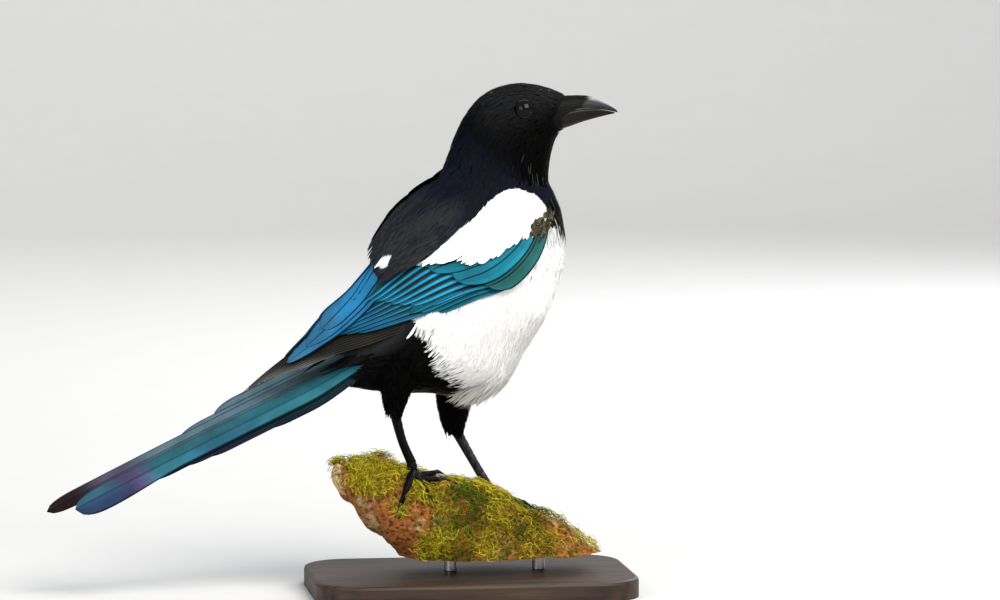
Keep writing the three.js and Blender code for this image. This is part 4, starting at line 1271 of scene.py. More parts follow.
def in_white(points):
    """Which points of a wing lie in its white markings."""
    x, z = points[..., 0], points[..., 2]
    marked = inside_outline(x, z, SHOULDER_PATCH) | inside_outline(x, z, SCAPULAR_SPOT)
    return marked & (np.abs(points[..., 1]) > 14)


class MAGPIE_OT_shoulders(bpy.types.Operator):
    """White and black shoulder feathers, and the small scaly ones at the wrist"""
    bl_idname = "magpie.shoulders"
    bl_label = "Shoulder feathers"

    def execute(self, context):
        coat = settings("coat")
        material = small_feather_material("shoulder_feathers", 0.6, 0.03, 0.12)
        for number, (name, side) in enumerate(SIDES.items()):
            surface = wing_surface(side)
            place, across, rng = scatter(surface, (-0.8, 4.4), (-0.05, 1.0), 1.65, 40 + number)
            length = (12 + 1.8 * place) * (0.85 + 0.3 * rng.random(len(place)))
            tips = tips_of(surface, place, across, length)
            border = np.interp(tips[:, 0], *SHOULDER_EDGE.T)
            white = in_white(tips)
            above = (tips[:, 2] > border) & (tips[:, 0] > SHOULDER_EDGE[0, 0])
            chosen = above & (white | (tips[:, 0] < -36) | (tips[:, 2] > border + 4))
            place, across, length, white = (v[chosen] for v in (place, across, length, white))
            high = -0.7 + 2.7 * smoothstep(place, -0.6, 1.4) * (1 - smoothstep(place, 3.2, 5.4))
            each, laid, faces, flat = lay_leaves(
                surface, place, across, length, np.where(white, 1.9, 2.0), template=FINE_LEAF,
                turn=(rng.random(len(place)) - 0.5) * 0.1, rise=(high - 0.8, high), wrap=WING_WRAP)
            worn = smoothstep(place, 0.2, 2.0) * (1 - 0.6 * rng.random(len(place)) ** 2)
            glossy = lerp(np.array(coat.bluish), np.array(coat.brownish), worn[:, None])
            tint = leaf_tints(glossy, each, rng, 0.35)
            tint[in_white(laid)] = np.array(coat.white)
            add_object(f"shoulder_{name}", laid, faces, material, tint=tint, slot="white_plumage", **flat)
            self.wrist(name, surface, 60 + number, material)
        return {"FINISHED"}

    @staticmethod
    def wrist(name, surface, seed, material):
        """Small scaly olive-brown feathers in a wedge over the wing's front edge."""
        place, across, rng = scatter(surface, (-0.5, 1.6), (0.7, 1.04), 1.2, seed)
        tips = tips_of(surface, place, across, 4.0)
        chosen = inside_outline(tips[:, 0], tips[:, 2], WRIST_WEDGE)
        place, across = place[chosen], across[chosen]
        each, laid, faces, flat = lay_leaves(
            surface, place, across, 3.4, 1.4, turn=(rng.random(len(place)) - 0.5) * 0.3, rise=(-0.4, 1.0),
            wrap=WING_WRAP)
        olive = WRIST_OLIVE * (0.2 + 1.3 * rng.random((len(place), 1)))
        add_object(f"wrist_{name}", laid, faces, material, tint=leaf_tints(olive, each, rng, 0.3),
                   slot="wing_plumage", **flat)


def tail_axes():
    axis = TAIL_TIP - TAIL_ROOT
    length = np.linalg.norm(axis)
    axis = axis / length
    right = np.array(Matrix.Rotation(TAIL_ROLL, 3, Vector(axis)) @ Vector((0, -1, 0)))
    return axis, right, np.cross(axis, right), length


def tail_points(along, right, up):
    """Points of the tail: how far along it, to the bird's right, and above its mid plane."""
    axis, side, above, length = tail_axes()
    along, right, up = np.broadcast_arrays(along, right, up)
    droop = TAIL_DROOP * np.sin(math.pi * along / length)
    return (TAIL_ROOT + along[..., None] * axis + right[..., None] * side + (up + droop)[..., None] * above)


def tail_tint(along, length, unit, kind):
    """Colours over a tail feather by the distance from its tip. The top one is green-blue with a purple band
    and a blue end, the long ones greyer with a brown-black end, and the rest dark with a violet gloss."""
    flight = settings("flight")
    from_tip = (length - along)[:, None, None]
    outer = smoothstep(unit, -0.25, 0.35)[None, :, None]
    green, purple = np.array(flight.tail), np.array(flight.purple)
    if kind == "top":
        end = lerp(np.array([0.026, 0.09, 0.14]), np.array([0.016, 0.03, 0.07]), outer)
        bands = ((lerp(green, np.array([0.018, 0.09, 0.14]), outer), 150, 90), (green, 80, 60),
                 (purple, 56, 42), (end, 34 + 10 * outer, 22 + 10 * outer))
    elif kind == "long":
        green = lerp(green, np.array([0.075, 0.10, 0.125]), 0.7)
        bands = ((np.array([0.05, 0.042, 0.07]), 75, 48), (np.array([0.012, 0.006, 0.007]), 42, 18))
    else:
        green = 0.3 * green
        bands = ((np.array([0.028, 0.022, 0.06]), 70, 20),)
    colour = np.broadcast_to(green, (len(along), len(unit), 3))
    for target, start, finish in bands:
        colour = colour + (target - colour) * (1 - smoothstep(from_tip, finish, start))
    return colour


class MAGPIE_OT_tail(bpy.types.Operator):
    """The twelve long tail feathers and the coverts over their roots"""
    bl_idname = "magpie.tail"
    bl_label = "Tail"

    def execute(self, context):
        material = web_material("tail_feathers", (0.85, 0.85, 0.85), (1.15, 1.15, 1.15), stripe_from=0.5,
                                line=0.25, quill=0.6)
        parts = []
        for side, (lengths, outers, over) in TAIL_FEATHERS.items():
            for j, (length, outer) in enumerate(zip(lengths, outers)):
                top = j == 0 and side > 0
                inner = -over if j == 0 else 0.3
                kind = "top" if top else ("long" if side < 0 else "under")
                parts.append(self.feather(len(parts), 12, 4, length, side * inner, side * outer,
                                          2.2 - 0.6 * (0 if top else j + 1), flare=TAIL_FLARE if top else 0,
                                          kind=kind, tinted_as=lengths[0] if side < 0 else length))
        points, faces, vane, uv, tint = join_parts(parts)
        tail = add_object("tail_long", points, faces, material, tint=tint, vane=vane, uv=uv,
                          slot="tail_plumage")
        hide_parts("tail")
        coverts = web_material("tail_coverts", (0.8, 0.8, 0.8), (1.0, 1.0, 1.0), line=0.4)
        rows = []
        for end, half, up in ((44, 5, 3.4), (38, 6, 3.9), (33, 7, 4.4), (70, 14, -3.4), (58, 15, -4.2)):
            for side in (1, -1):
                rows.append(self.feather(len(rows), 10, 4, end, 0.3 * side, half * side, up))
        points, faces, vane, uv, tint = join_parts(rows)
        add_object("tail_coverts", points, faces, coverts, tint=tint, vane=vane, uv=uv, slot="black_plumage")
        return {"FINISHED"}

    @staticmethod
    def feather(number, count, start, end, inner, outer, up, *, flare=0.0, kind=None, tinted_as=None):
        """A closed vane of the tail between an inner and an outer edge. A covert has no kind."""
        f = np.concatenate([np.linspace(0, 0.86, 30), np.linspace(0.86, 1, 11)[1:]])
        along = lerp(start, end, f)
        spread = lerp(0.42, 1.0, smoothstep(along, 0, 60))
        unit = np.linspace(-1, 1, 11)
        width = tail_width(along, end) if kind else pointed_width(f)
        shaft = lerp(inner, outer, 0.5) * spread
        widest = (outer + flare * smoothstep(along, 140, 190)) * spread
        web = np.where(unit[None, :] < 0, (shaft - inner * spread)[:, None], (widest - shaft)[:, None])
        edges = shaft[:, None] + web * unit * width[:, None]
        rise = up - 0.3 * np.abs(unit) ** 2 + 0.22 * np.exp(-(unit / 0.06) ** 2)
        sunk = (1.6 * (1 - smoothstep(f, 0, 0.15)))[:, None]
        thick = (VANE * (1 - 0.5 * f ** 3))[:, None]
        top = tail_points(along[:, None], edges, rise - sunk)
        bottom = tail_points(along[:, None], edges, rise - sunk - thick)
        points, faces = vane_plate(top, bottom)
        if outer < inner:
            faces = faces[:, ::-1]
        vane = np.stack(np.broadcast_arrays(unit, along[:, None] / 10, f[:, None]), axis=-1).reshape(-1, 3)
        covert = np.broadcast_to(COVERT_DARK, (len(f), len(unit), 3))
        tint = (tail_tint(along, tinted_as, unit, kind) if kind else covert).reshape(-1, 3)
        return points, faces, np.tile(vane, (2, 1)), strip_uv(number, count, f, unit), np.tile(tint, (2, 1))


def tail_width(along, end):
    """A tail feather's width towards its rounded tip."""
    f = np.clip((along - (end - 20)) / 20, 0, 1)
    return np.maximum(0.04, np.sqrt(1 - f ** 2.4))


# Head details

LID_DARK = np.array([0.004, 0.0036, 0.0036])
LID_PALE = np.array([0.42, 0.39, 0.37])
CULMEN_HIGHLIGHT = np.array([0.29, 0.295, 0.315])
CUTTING_PALE = np.array([0.17, 0.16, 0.145])
LOWER_DARK = np.array([0.009, 0.006, 0.004])
BRISTLES = 1500
BILL_RINGS = 60
BILL_SIDES = 28
EYE_SIDES = 64
LID_STEPS = 72
LID_SIDES = 12


def eye_centre(side):
    """Where an eye's middle lies, sunk a little into the side of the turned head."""
    width = row_at(BODY, np.array([3.2]))[0, 4]
    return yawed(np.array([[EYE_X, side * (width * 0.89 - EYE_SUNK), EYE_Z]]), 1.0)[0]


class MAGPIE_OT_eyes(bpy.types.Operator):
    """Wet dark eyes and the bare rims of their lids"""
    bl_idname = "magpie.eyes"
    bl_label = "Eyes"

    def execute(self, context):
        material = eye_material(tuple(settings("horn").iris))
        lids = lid_material()
        for name, side in SIDES.items():
            out = yawed(np.array([[NECK_X, side * 1.0, 0]]), 1.0)[0] - np.array([NECK_X, 0, 0])
            ahead = np.array([math.cos(HEAD_YAW), math.sin(HEAD_YAW), 0.0])
            axes = (out, ahead, np.array([0, 0, 1.0]))
            self.ball(name, eye_centre(side), axes, material)
            self.lid(name, eye_centre(side), axes, lids)
        return {"FINISHED"}

    @staticmethod
    def ball(name, centre, axes, material):
        """An eyeball whose clear front stands out a little. Its vane value is the angle from the pupil."""
        out, ahead, up = axes
        polar, turn = np.meshgrid(
            np.linspace(0.01, math.pi - 0.01, 48), np.arange(EYE_SIDES) / EYE_SIDES * TURN, indexing="ij")
        radius = EYE_RADIUS * (1 + 0.03 * np.exp(-(polar / 0.45) ** 2))
        rings = (centre + (radius * np.cos(polar))[..., None] * out
                 + (radius * np.sin(polar) * np.cos(turn))[..., None] * ahead
                 + (radius * np.sin(polar) * np.sin(turn))[..., None] * up)
        points, faces = closed_loft(rings)
        away = np.concatenate([np.zeros(EYE_SIDES), polar.ravel(), np.full(EYE_SIDES, math.pi)])
        vane = np.column_stack([away, away * 0, away * 0])
        eye = add_object(f"eyeball_{name}", points, faces, material, vane=vane, slot="eye")
        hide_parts(f"eye_{name}")

    @staticmethod
    def lid(name, centre, axes, material):
        """A ring of bare skin round the eye, pale along the lower part of its inner rim."""
        out, ahead, up = axes
        turn, tube = np.meshgrid(np.arange(LID_STEPS) / LID_STEPS * TURN,
                                 np.arange(LID_SIDES) / LID_SIDES * TURN, indexing="ij")
        wide = 4.55 + 0.25 * np.cos(turn)
        tall = 4.15 - 0.25 * np.sin(turn)
        thick = 0.62 + 0.12 * np.cos(turn)
        rim = wide + thick * np.cos(tube)
        rise = tall + thick * np.cos(tube)
        lie = EYE_RADIUS * 0.74 + 0.75 * np.sin(tube) * thick
        ring = (centre + lie[..., None] * out + (rim * np.cos(turn))[..., None] * ahead
                + (rise * np.sin(turn))[..., None] * up)
        points = ring.reshape(-1, 3)
        faces = []
        for step in range(LID_STEPS):
            here, after = step * LID_SIDES, (step + 1) % LID_STEPS * LID_SIDES
            for k in range(LID_SIDES):
                beside = (k + 1) % LID_SIDES
                faces.append([here + k, here + beside, after + beside, after + k])
        inner = smoothstep(-np.cos(tube), 0.4, 0.9) * smoothstep(-np.sin(turn), 0.1, 0.6)
        tint = lerp(LID_DARK, LID_PALE, inner[..., None]).reshape(-1, 3)
        add_object(f"lids_{name}", points, faces, material, tint=tint, slot="black_plumage")


def mandible_rings(upper, end):
    """Rings of half of the bill: an arch from one cutting edge over the ridge to the other."""
    place = np.linspace(0, end, BILL_RINGS)
    row = row_at(BILL, place)
    x, top, cut, low, width = row.T
    sign = 1 if upper else -1
    edge = cut + sign * MOUTH_GAP / 2
    ridge = top if upper else low
    angle = np.linspace(0, math.pi, BILL_SIDES)
    y = np.cos(angle)[None, :] * width[:, None]
    rise = np.sin(angle) ** 0.85
    z = edge[:, None] + (ridge - edge)[:, None] * rise[None, :]
    arch = np.stack([np.broadcast_to(x[:, None], y.shape), y, z], axis=-1)
    floor = arch[:, ::-1].copy()[:, 1:-1:3]
    floor[..., 2] = edge[:, None]
    return yawed(np.concatenate([arch, floor], axis=1), 1.0)


class MAGPIE_OT_bill(bpy.types.Operator):
    """Both halves of the bill, and the bristles that lie over the nostrils"""
    bl_idname = "magpie.bill"
    bl_label = "Bill"

    def execute(self, context):
        material = horn_material("bill")
        for name, upper, end in (("upper", True, 7), ("lower", False, 6)):
            rings = mandible_rings(upper, end)
            points, faces = closed_loft(rings)
            sides = rings.shape[1]
            tint = self.tints(upper, end, sides)
            tint = np.concatenate([tint[:sides], tint, tint[-sides:]])
            piece = add_object(f"mandible_{name}", points, faces, material, tint=tint, slot="horn")
            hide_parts(f"bill_{name}")
        self.bristles()
        return {"FINISHED"}

    @staticmethod
    def tints(upper, end, sides):
        """Near-black horn, a painted highlight of pale blue-grey along the top of the culmen towards its end,
        and a paler cutting edge.
        """
        horn = np.array(settings("horn").horn)
        place = np.linspace(0, end, BILL_RINGS)[:, None, None]
        angle = np.concatenate([np.linspace(0, math.pi, BILL_SIDES), np.zeros(sides - BILL_SIDES)])
        angle = angle[None, :, None]
        high = smoothstep(np.sin(angle), 0.62, 0.98)
        cutting = 1 - smoothstep(np.sin(angle), 0.0, 0.1)
        if upper:
            # Painted highlight: the culmen's top, where light from above falls, is made pale blue-grey.
            pale = high * smoothstep(place, 2.2, 3.6) * (1 - 0.6 * smoothstep(place, 5.6, 6.6))
            colour = lerp(horn, CULMEN_HIGHLIGHT, pale)
        else:
            colour = lerp(0.5 * horn, LOWER_DARK, smoothstep(place, 0.8, 2.4) * (1 - high))
        edge = (0.6 if upper else 0.1) * cutting * (1 - smoothstep(place, 2.5, 4.5))
        return lerp(colour, CUTTING_PALE, edge).reshape(-1, 3)

    @staticmethod
    def bristles():
        """Stiff black bristles from the forehead and the chin over the bill's base."""
        rng = np.random.default_rng(SEED + 90)
        count = BRISTLES
        angle = (rng.random(count) * 2 - 1) * math.pi
        low = smoothstep(np.abs(angle), 1.4, 1.7)
        place = 0.2 + (2.0 - 1.2 * low) * rng.random(count)

        def over_bill(forward, around, lift):
            forward, around, lift = np.broadcast_arrays(forward, around, lift)
            row = row_at(BILL, forward)
            x, top, cut, low, width = (row[..., k] for k in range(5))
            y = np.sin(around) * (width + lift)
            up = np.cos(around)
            tall = np.where(up > 0, top - cut, cut - low) + lift
            z = cut + np.sign(up) * tall * np.abs(up) ** 0.85
            return yawed(np.stack([x, y, z], axis=-1), 1.0)

        length = (7 + 7 * rng.random(count)) * (1.15 - 0.35 * np.minimum(np.abs(angle), 1.5))
        length = length * (1 - 0.3 * low)
        each, laid, faces, flat = lay_leaves(
            over_bill, place, angle, length, 0.75, template=HAIR, turn=(rng.random(count) - 0.5) * 0.25,
            rise=(0.3, 0.5 + 0.5 * rng.random(count)), cup=0.0, wrap=(8.0, TURN))
        colour = np.tile(np.array(settings("coat").black) * 0.8, (count, 1))
        add_object("bristles", laid, faces, small_feather_material("bristles", 0.5, 0.12, 0.2),
                   tint=leaf_tints(colour, each, rng, 0.5), slot="black_plumage", **flat)


# Legs and feet

def scaled_tube(points, radii, rings, sides, scales, raised, colour):
    """A scaled shank or toe: rings of plates across its front, each ridge a little raised."""
    centre, side, out, radius = tube_frame(points, radii, rings)
    angle = np.arange(sides) / sides * TURN
    f = np.linspace(0, 1, rings)
    step = (f * scales) % 1.0
    front = np.clip(-np.cos(angle), 0, 1) ** 0.5
    plate = (0.5 + 0.5 * step[:, None]) * front[None, :]
    seam = np.exp(-((step - 0.02) / 0.07) ** 2)[:, None] * front[None, :]
    reach = radius[:, None] * (1 + raised * plate - 1.4 * raised * seam)
    ring = (centre[:, None, :] + reach[..., None] * (np.cos(angle)[None, :, None] * side[:, None, :]
                                                      + np.sin(angle)[None, :, None] * out[:, None, :]))
    points, faces = closed_loft(ring)
    # The fronts of the scales are paler and the back of the tube darker: partly the scales' own tone, partly
    # a painted highlight on the fronts that face the light. The seams between the scales are darker.
    shade = 0.32 + 0.68 * front[None, :] * (1 - 0.75 * seam)
    tint = colour * shade.reshape(-1, 1)
    ends = np.tile(colour * 0.3, (sides, 1))
    return points, faces, np.concatenate([ends, tint, ends])


def toe_points(foot, toe, start, end, radius):
    """Four points along a toe that lies on the limb, from one share of its length to another."""
    share = np.linspace(start, end, 4)
    place = foot[0] + toe[0] * share
    angle = foot[1] + toe[1] * share
    return limb_surface(place, angle, radius + TOE_GAP)


class MAGPIE_OT_legs(bpy.types.Operator):
    """Scaled shanks and toes, and their curved claws"""
    bl_idname = "magpie.legs"
    bl_label = "Legs and feet"

    def execute(self, context):
        skin = leg_material()
        claw_finish = horn_material("claws")
        for name, leg in LEGS.items():
            # Painted shade: the leg's colour times its shade, dark for the right leg in the body's shadow.
            colour = np.array(settings("horn").leg) * leg["shade"]
            points, faces, tint = scaled_tube(leg["shank"], SHANK_RADII, 150, 24, 10, 0.1, colour)
            shank = add_object(f"scaled_shank_{name}", points, faces, skin, tint=tint, slot="leg_skin")
            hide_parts(f"shank_{name}")
            parts = []
            for toe in leg["toes"]:
                path = toe_points(leg["foot"], toe, 0, 1.04, TOE_RADIUS)
                path[0] = path[0] + np.array([0, 0, 0.9])
                radii = [TOE_RADIUS * 1.25, TOE_RADIUS, TOE_RADIUS * 0.85, 1.35]
                parts.append(scaled_tube(path, radii, 90, 18, 9, 0.12, colour * 1.1))
            parts.append(self.knuckle(leg, colour))
            points, faces, tint = join_parts(parts)
            foot = add_object(f"scaled_foot_{name}", points, faces, skin, tint=tint, slot="leg_skin")
            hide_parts(f"foot_{name}")
            for number, toe in enumerate(leg["toes"], 1):
                self.claw(name, number, leg["foot"], toe, claw_finish)
        return {"FINISHED"}

    @staticmethod
    def knuckle(leg, colour):
        """The joint between the shank and the toes."""
        middle = limb_surface(*(np.array([v]) for v in leg["foot"]), 3.2)[0]
        down = np.array(leg["shank"][2], float)
        path = [down + (middle - down) * -0.25, down + (middle - down) * 0.5, middle + np.array([0, 0, -1.2])]
        return scaled_tube(path, [2.5, 3.1, 2.6], 40, 18, 4, 0.12, colour)

    @staticmethod
    def claw(name, number, foot, toe, material):
        """A curved claw, from inside the end of its toe to its point."""
        path = toe_points(foot, toe, 0.98, 1.52, 1.35)
        path[1, 2] += 1.3
        path[2, 2] += 0.7
        centre, side, out, radius = tube_frame(path, [1.4, 1.2, 0.75, 0.15], 40)
        angle = np.arange(16) / 16 * TURN
        ring = (centre[:, None, :] + radius[:, None, None] * (
            0.8 * np.cos(angle)[None, :, None] * out[:, None, :]
            + np.sin(angle)[None, :, None] * side[:, None, :]))
        points, faces = closed_loft(ring)
        tint = np.tile(np.array(settings("horn").horn), (len(points), 1))
        piece = add_object(f"curved_claw_{name}_{number}", points, faces, material, tint=tint, slot="horn")
        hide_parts(f"claw_{name}_{number}")


# The limb

LIMB_SIDES = 160
MOSS_PARTS = 3
MOSS_LEAVES = 6
STEM_RINGS = 6
STEM_SIDES = 3
STEM_POINTS = STEM_RINGS * STEM_SIDES


def near_feet(points, room):
    """Which points lie close to a toe."""
    hidden = np.zeros(len(points), bool)
    for leg in LEGS.values():
        for toe in leg["toes"]:
            for spot in toe_points(leg["foot"], toe, 0.15, 1.5, 2.0):
                hidden |= np.linalg.norm(points - spot, axis=1) < room
    return hidden


class MAGPIE_OT_limb(bpy.types.Operator):
    """The rough limb with its broken end"""
    bl_idname = "magpie.limb"
    bl_label = "Limb"

    def execute(self, context):
        perch = settings("perch")
        place, angle = np.meshgrid(
            np.linspace(0, len(LIMB) - 1, 260), np.arange(LIMB_SIDES) / LIMB_SIDES * TURN, indexing="ij")
        lift, broken = self.roughness(place, angle)
        points, faces = closed_loft(limb_surface(place, angle, lift))
        mask = np.concatenate([np.ones(LIMB_SIDES), broken.ravel(), np.zeros(LIMB_SIDES)])
        vane = np.column_stack([mask, mask * 0, mask * 0])
        material = bark_material(tuple(perch.bark), tuple(perch.moss), tuple(perch.wood))
        piece = add_object("limb", points, faces, material, vane=vane, slot="bark")
        self.saw_level(piece)
        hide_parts("perch")
        return {"FINISHED"}

    @staticmethod
    def roughness(place, angle):
        """How far bark stands out at each place, level under the feet, and where the torn wood shows."""
        flat = limb_surface(place, angle, 0).reshape(-1, 3)
        rough = np.array([noise.fractal(Vector(p) * 0.11, 0.9, 2.1, 5) for p in flat]).reshape(place.shape)
        ridge = np.array([noise.noise(Vector((8 * p, 0.7 * math.cos(a), 0.7 * math.sin(a))) * 1.7) for p, a in
                          zip(0.09 * place.ravel(), 9 * angle.ravel())]).reshape(place.shape)
        torn = np.array([noise.noise(Vector((p[0] * 0.08, p[1] * 0.3, p[2] * 0.3))) for p in flat])
        broken = 1 - smoothstep(place + 0.9 * torn.reshape(place.shape), 0.5, 0.95)
        lift = -0.7 + 1.3 * rough - 1.0 * np.abs(ridge)
        return np.where(near_feet(flat, 4.5).reshape(place.shape), -0.6, lift), broken

    @staticmethod
    def saw_level(piece):
        """Cuts the limb level where the stand's rods meet it."""
        form = bmesh.new()
        form.from_mesh(piece.data)
        whole = form.verts[:] + form.edges[:] + form.faces[:]
        cut = bmesh.ops.bisect_plane(form, geom=whole, plane_co=(0, 0, PERCH_CUT_Z * MM), plane_no=(0, 0, 1),
                                     clear_inner=True)
        rim = [item for item in cut["geom_cut"] if isinstance(item, bmesh.types.BMEdge)]
        bmesh.ops.holes_fill(form, edges=rim, sides=0)
        form.to_mesh(piece.data)
        form.free()


class MAGPIE_OT_moss(bpy.types.Operator):
    """Curly strands of moss in clumps over the limb's upper side, with tiny leaves along them"""
    bl_idname = "magpie.moss"
    bl_label = "Moss"

    def execute(self, context):
        perch = settings("perch")
        material = moss_material()
        rng = np.random.default_rng(SEED + 300)
        for part in range(MOSS_PARTS):
            points, faces, tint = self.strands(rng, perch.strands // MOSS_PARTS, perch)
            add_object(f"moss_{part + 1}", points, faces, material, tint=tint, slot="bark")
        return {"FINISHED"}

    @staticmethod
    def roots(rng, count):
        """Places for strands: dense in clumps, few on the underside, the crest and by the broken end."""
        place = 0.1 + 7.6 * rng.random(count * 6)
        angle = (rng.random(count * 6) * 2 - 1) * math.pi
        root = limb_surface(place, angle, 0)
        clump = np.array([noise.noise(Vector(p) * 0.075) for p in root])
        down = -angle
        lowest = lerp(1.75, 2.9, smoothstep(place, 3.0, 4.4))
        cover = smoothstep(lowest - down, 0, 0.4) * smoothstep(down, -1.6, -1.0)
        crest = np.exp(-((down - 0.1) / 0.45) ** 2)
        bare = crest * (1 - smoothstep(place, 3.8, 4.5)) + 0.7 * crest * smoothstep(place, 5.5, 6.2)
        bare = np.clip(bare + 1 - smoothstep(place + 0.7 * clump, 0.35, 0.8), 0, 1)
        patchy = smoothstep(clump, -0.05, 0.12)
        dense = smoothstep(place, 3.6, 4.4) * (1 - 0.6 * smoothstep(place, 6, 7))
        weight = cover * (1 - 0.93 * bare) * (0.06 + 0.94 * np.maximum(patchy, 0.75 * dense))
        fits = (root[:, 2] > PERCH_CUT_Z + 1.5) & ~near_feet(root, 3.2) & (rng.random(count * 6) < weight)
        chosen = np.flatnonzero(fits)[:count]
        return place[chosen], angle[chosen], root[chosen], clump[chosen]

    @classmethod
    def strands(cls, rng, count, perch):
        """Arching strands that lie over one another, each a thin closed tube with small pointed leaves,
        painted darker towards their roots as shade deep in the cushion.
        """
        place, angle, root, clump = cls.roots(rng, count)
        along, around, normal = cls.directions(place, angle, root)
        heading = rng.random(len(root)) * TURN
        ahead = along * np.cos(heading)[:, None] + around * np.sin(heading)[:, None]
        aside = np.cross(normal, ahead)
        path = cls.paths(rng, root, clump, (ahead, aside, normal), perch.strand_length / MM)
        stems, stem = cls.stems(rng, path, aside, normal)
        leaves, leaf = cls.leaves(rng, path, normal, aside, ahead)
        points = np.concatenate([stems, leaves], axis=1)
        each = points.shape[1]
        faces = (np.arange(len(root)) * each)[:, None, None] + np.array(stem + leaf)
        tint = cls.tints(rng, root, clump, perch)
        # Painted shade: each strand is darker at its root, deep in the cushion, and lighter towards its tip
        # and leaves.
        painted_depth_shade = np.repeat([0.12, 0.4, 0.75, 0.95, 1.1, 1.25], STEM_SIDES)
        painted_depth_shade = np.concatenate([painted_depth_shade, np.repeat(np.linspace(0.5, 1.2, MOSS_LEAVES), 4)])
        shaded = tint[:, None, :] * painted_depth_shade[None, :, None]
        return points.reshape(-1, 3), faces.reshape(-1, 3), shaded.reshape(-1, 3)

    @staticmethod
    def directions(place, angle, root):
        """The directions along the limb, round it and out of it at each root."""
        step = 0.02
        along = limb_surface(place + step, angle, 0) - limb_surface(place - step, angle, 0)
        around = limb_surface(place, angle + step, 0) - limb_surface(place, angle - step, 0)
        along /= np.linalg.norm(along, axis=1)[:, None]
        normal = np.cross(around, along)
        normal /= np.linalg.norm(normal, axis=1)[:, None]
        normal *= np.sign(np.einsum("ij,ij->i", normal, limb_surface(place, angle, 1) - root))[:, None]
        return along, np.cross(normal, along), normal

    @staticmethod
    def paths(rng, root, clump, axes, length):
        """Each strand's arching path, which starts on the cushion of the others."""
        count = len(root)
        ahead, aside, normal = axes
        size = length * (0.5 + 0.9 * rng.random(count))
        cushion = np.clip(0.8 + 7.0 * clump, 0, 3.2) * rng.random(count)
        high = size * (0.1 + 0.4 * rng.random(count))
        curl = size * (rng.random(count) - 0.5) * 0.9
        t = np.linspace(0, 1, STEM_RINGS)
        path = (root[:, None, :] + (cushion - 0.4)[:, None, None] * normal[:, None, :]
                + ahead[:, None, :] * (size[:, None] * (t - 0.12 * np.sin(TURN * t)))[..., None]
                + normal[:, None, :] * (high[:, None] * np.sin(math.pi * t * 0.85))[..., None]
                + aside[:, None, :] * (curl[:, None] * np.sin(math.pi * t) ** 2)[..., None])
        path[..., 2] = np.maximum(path[..., 2], PERCH_CUT_Z + 0.4)
        return path

    @staticmethod
    def stems(rng, path, aside, normal):
        """Points and faces of each strand's three-sided stem, round its path."""
        count = len(path)
        thick = (0.11 + 0.09 * rng.random(count))[:, None] * np.array([1, 1, 1, 0.9, 0.7, 0.2])
        corners = np.arange(STEM_SIDES) / STEM_SIDES * TURN
        ring = (path[:, :, None, :]
                + thick[..., None, None] * (np.cos(corners)[:, None] * normal[:, None, None, :]
                                            + np.sin(corners)[:, None] * aside[:, None, None, :]))
        stem = [(2, 1, 0), (STEM_POINTS - 3, STEM_POINTS - 2, STEM_POINTS - 1)]
        for r in range(STEM_RINGS - 1):
            for k in range(STEM_SIDES):
                a, b = 3 * r + k, 3 * r + (k + 1) % 3
                stem += [(a, b, b + 3), (a, b + 3, a + 3)]
        return ring.reshape(count, STEM_POINTS, 3), stem

    @staticmethod
    def leaves(rng, path, normal, aside, ahead):
        """Small four-faced spikes that stand out alternately from a strand."""
        made, faces = [], []
        for i in range(MOSS_LEAVES):
            share = 1 + (i + 0.5) * 4 / MOSS_LEAVES
            low = int(share)
            base = lerp(path[:, low], path[:, min(low + 1, STEM_RINGS - 1)], share - low)
            sway = rng.random(len(path))[:, None] - 0.5
            out = (aside if i % 2 else -aside) * 0.75 + ahead * 0.55 + normal * sway
            reach = 0.7 + 0.6 * rng.random(len(path))[:, None]
            made += [base - 0.13 * ahead, base + 0.13 * ahead, base + 0.14 * normal, base + reach * out]
            a = STEM_POINTS + 4 * i
            faces += [(a, a + 1, a + 2), (a, a + 3, a + 1), (a + 1, a + 3, a + 2), (a + 2, a + 3, a)]
        return np.stack(made, axis=1), faces

    @staticmethod
    def tints(rng, root, clump, perch):
        """Golden green on top of the clumps, deeper green between them, partly the moss's own tone and partly
        painted shade in the gaps, and a few rusty dead strands.
        """
        moss = np.array(perch.moss)
        # Painted shade: the deep green between the clumps stands in partly for the shade in the gaps, partly
        # for the moss's own darker tone.
        deep = moss * np.array([0.22, 0.4, 0.4])
        gold = lerp(moss, np.array([0.78, 0.62, 0.04]), rng.random(len(root))[:, None] ** 1.5)
        fresh = np.clip(0.6 + 2.5 * clump + 0.9 * (rng.random(len(root)) - 0.5), 0, 1)[:, None]
        tint = lerp(deep, gold, fresh)
        rust = (rng.random(len(root)) < 0.04)[:, None]
        tint = np.where(rust, np.array(perch.bark) * 1.8, tint)
        return tint * (0.2 + 1.15 * rng.random(len(root)))[:, None]


class MAGPIE_OT_stand(bpy.types.Operator):
    """The finish of the display stand's base and rods"""
    bl_idname = "magpie.stand"
    bl_label = "Stand"

    def execute(self, context):
        wood, metal = stand_wood_material(), stand_metal_material()
        for name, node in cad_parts.items():
            if name.startswith("stand_"):
                finish = wood if "base" in name else metal
                for slot in node.material_slots:
                    slot.material = finish
        return {"FINISHED"}


# Studio

CAMERA_TURN = math.radians(-8)
CAMERA_RISE = math.radians(5)
VIEW_WIDTH = 1000 / 1.65 * MM
AIM = Vector((18.4, 0, 176.9)) * MM
SKY = (0.80, 0.86, 0.95, 1)
SKY_STRENGTH = 0.55
SENSOR = 36
# The floor's front and back edges, half its width, the bend's radius behind it and the backdrop's height.
FLOOR_FRONT = -6.0
FLOOR_BACK = 3.0
FLOOR_HALF = 7.0
BEND = 1.5
WALL_TOP = 6.0


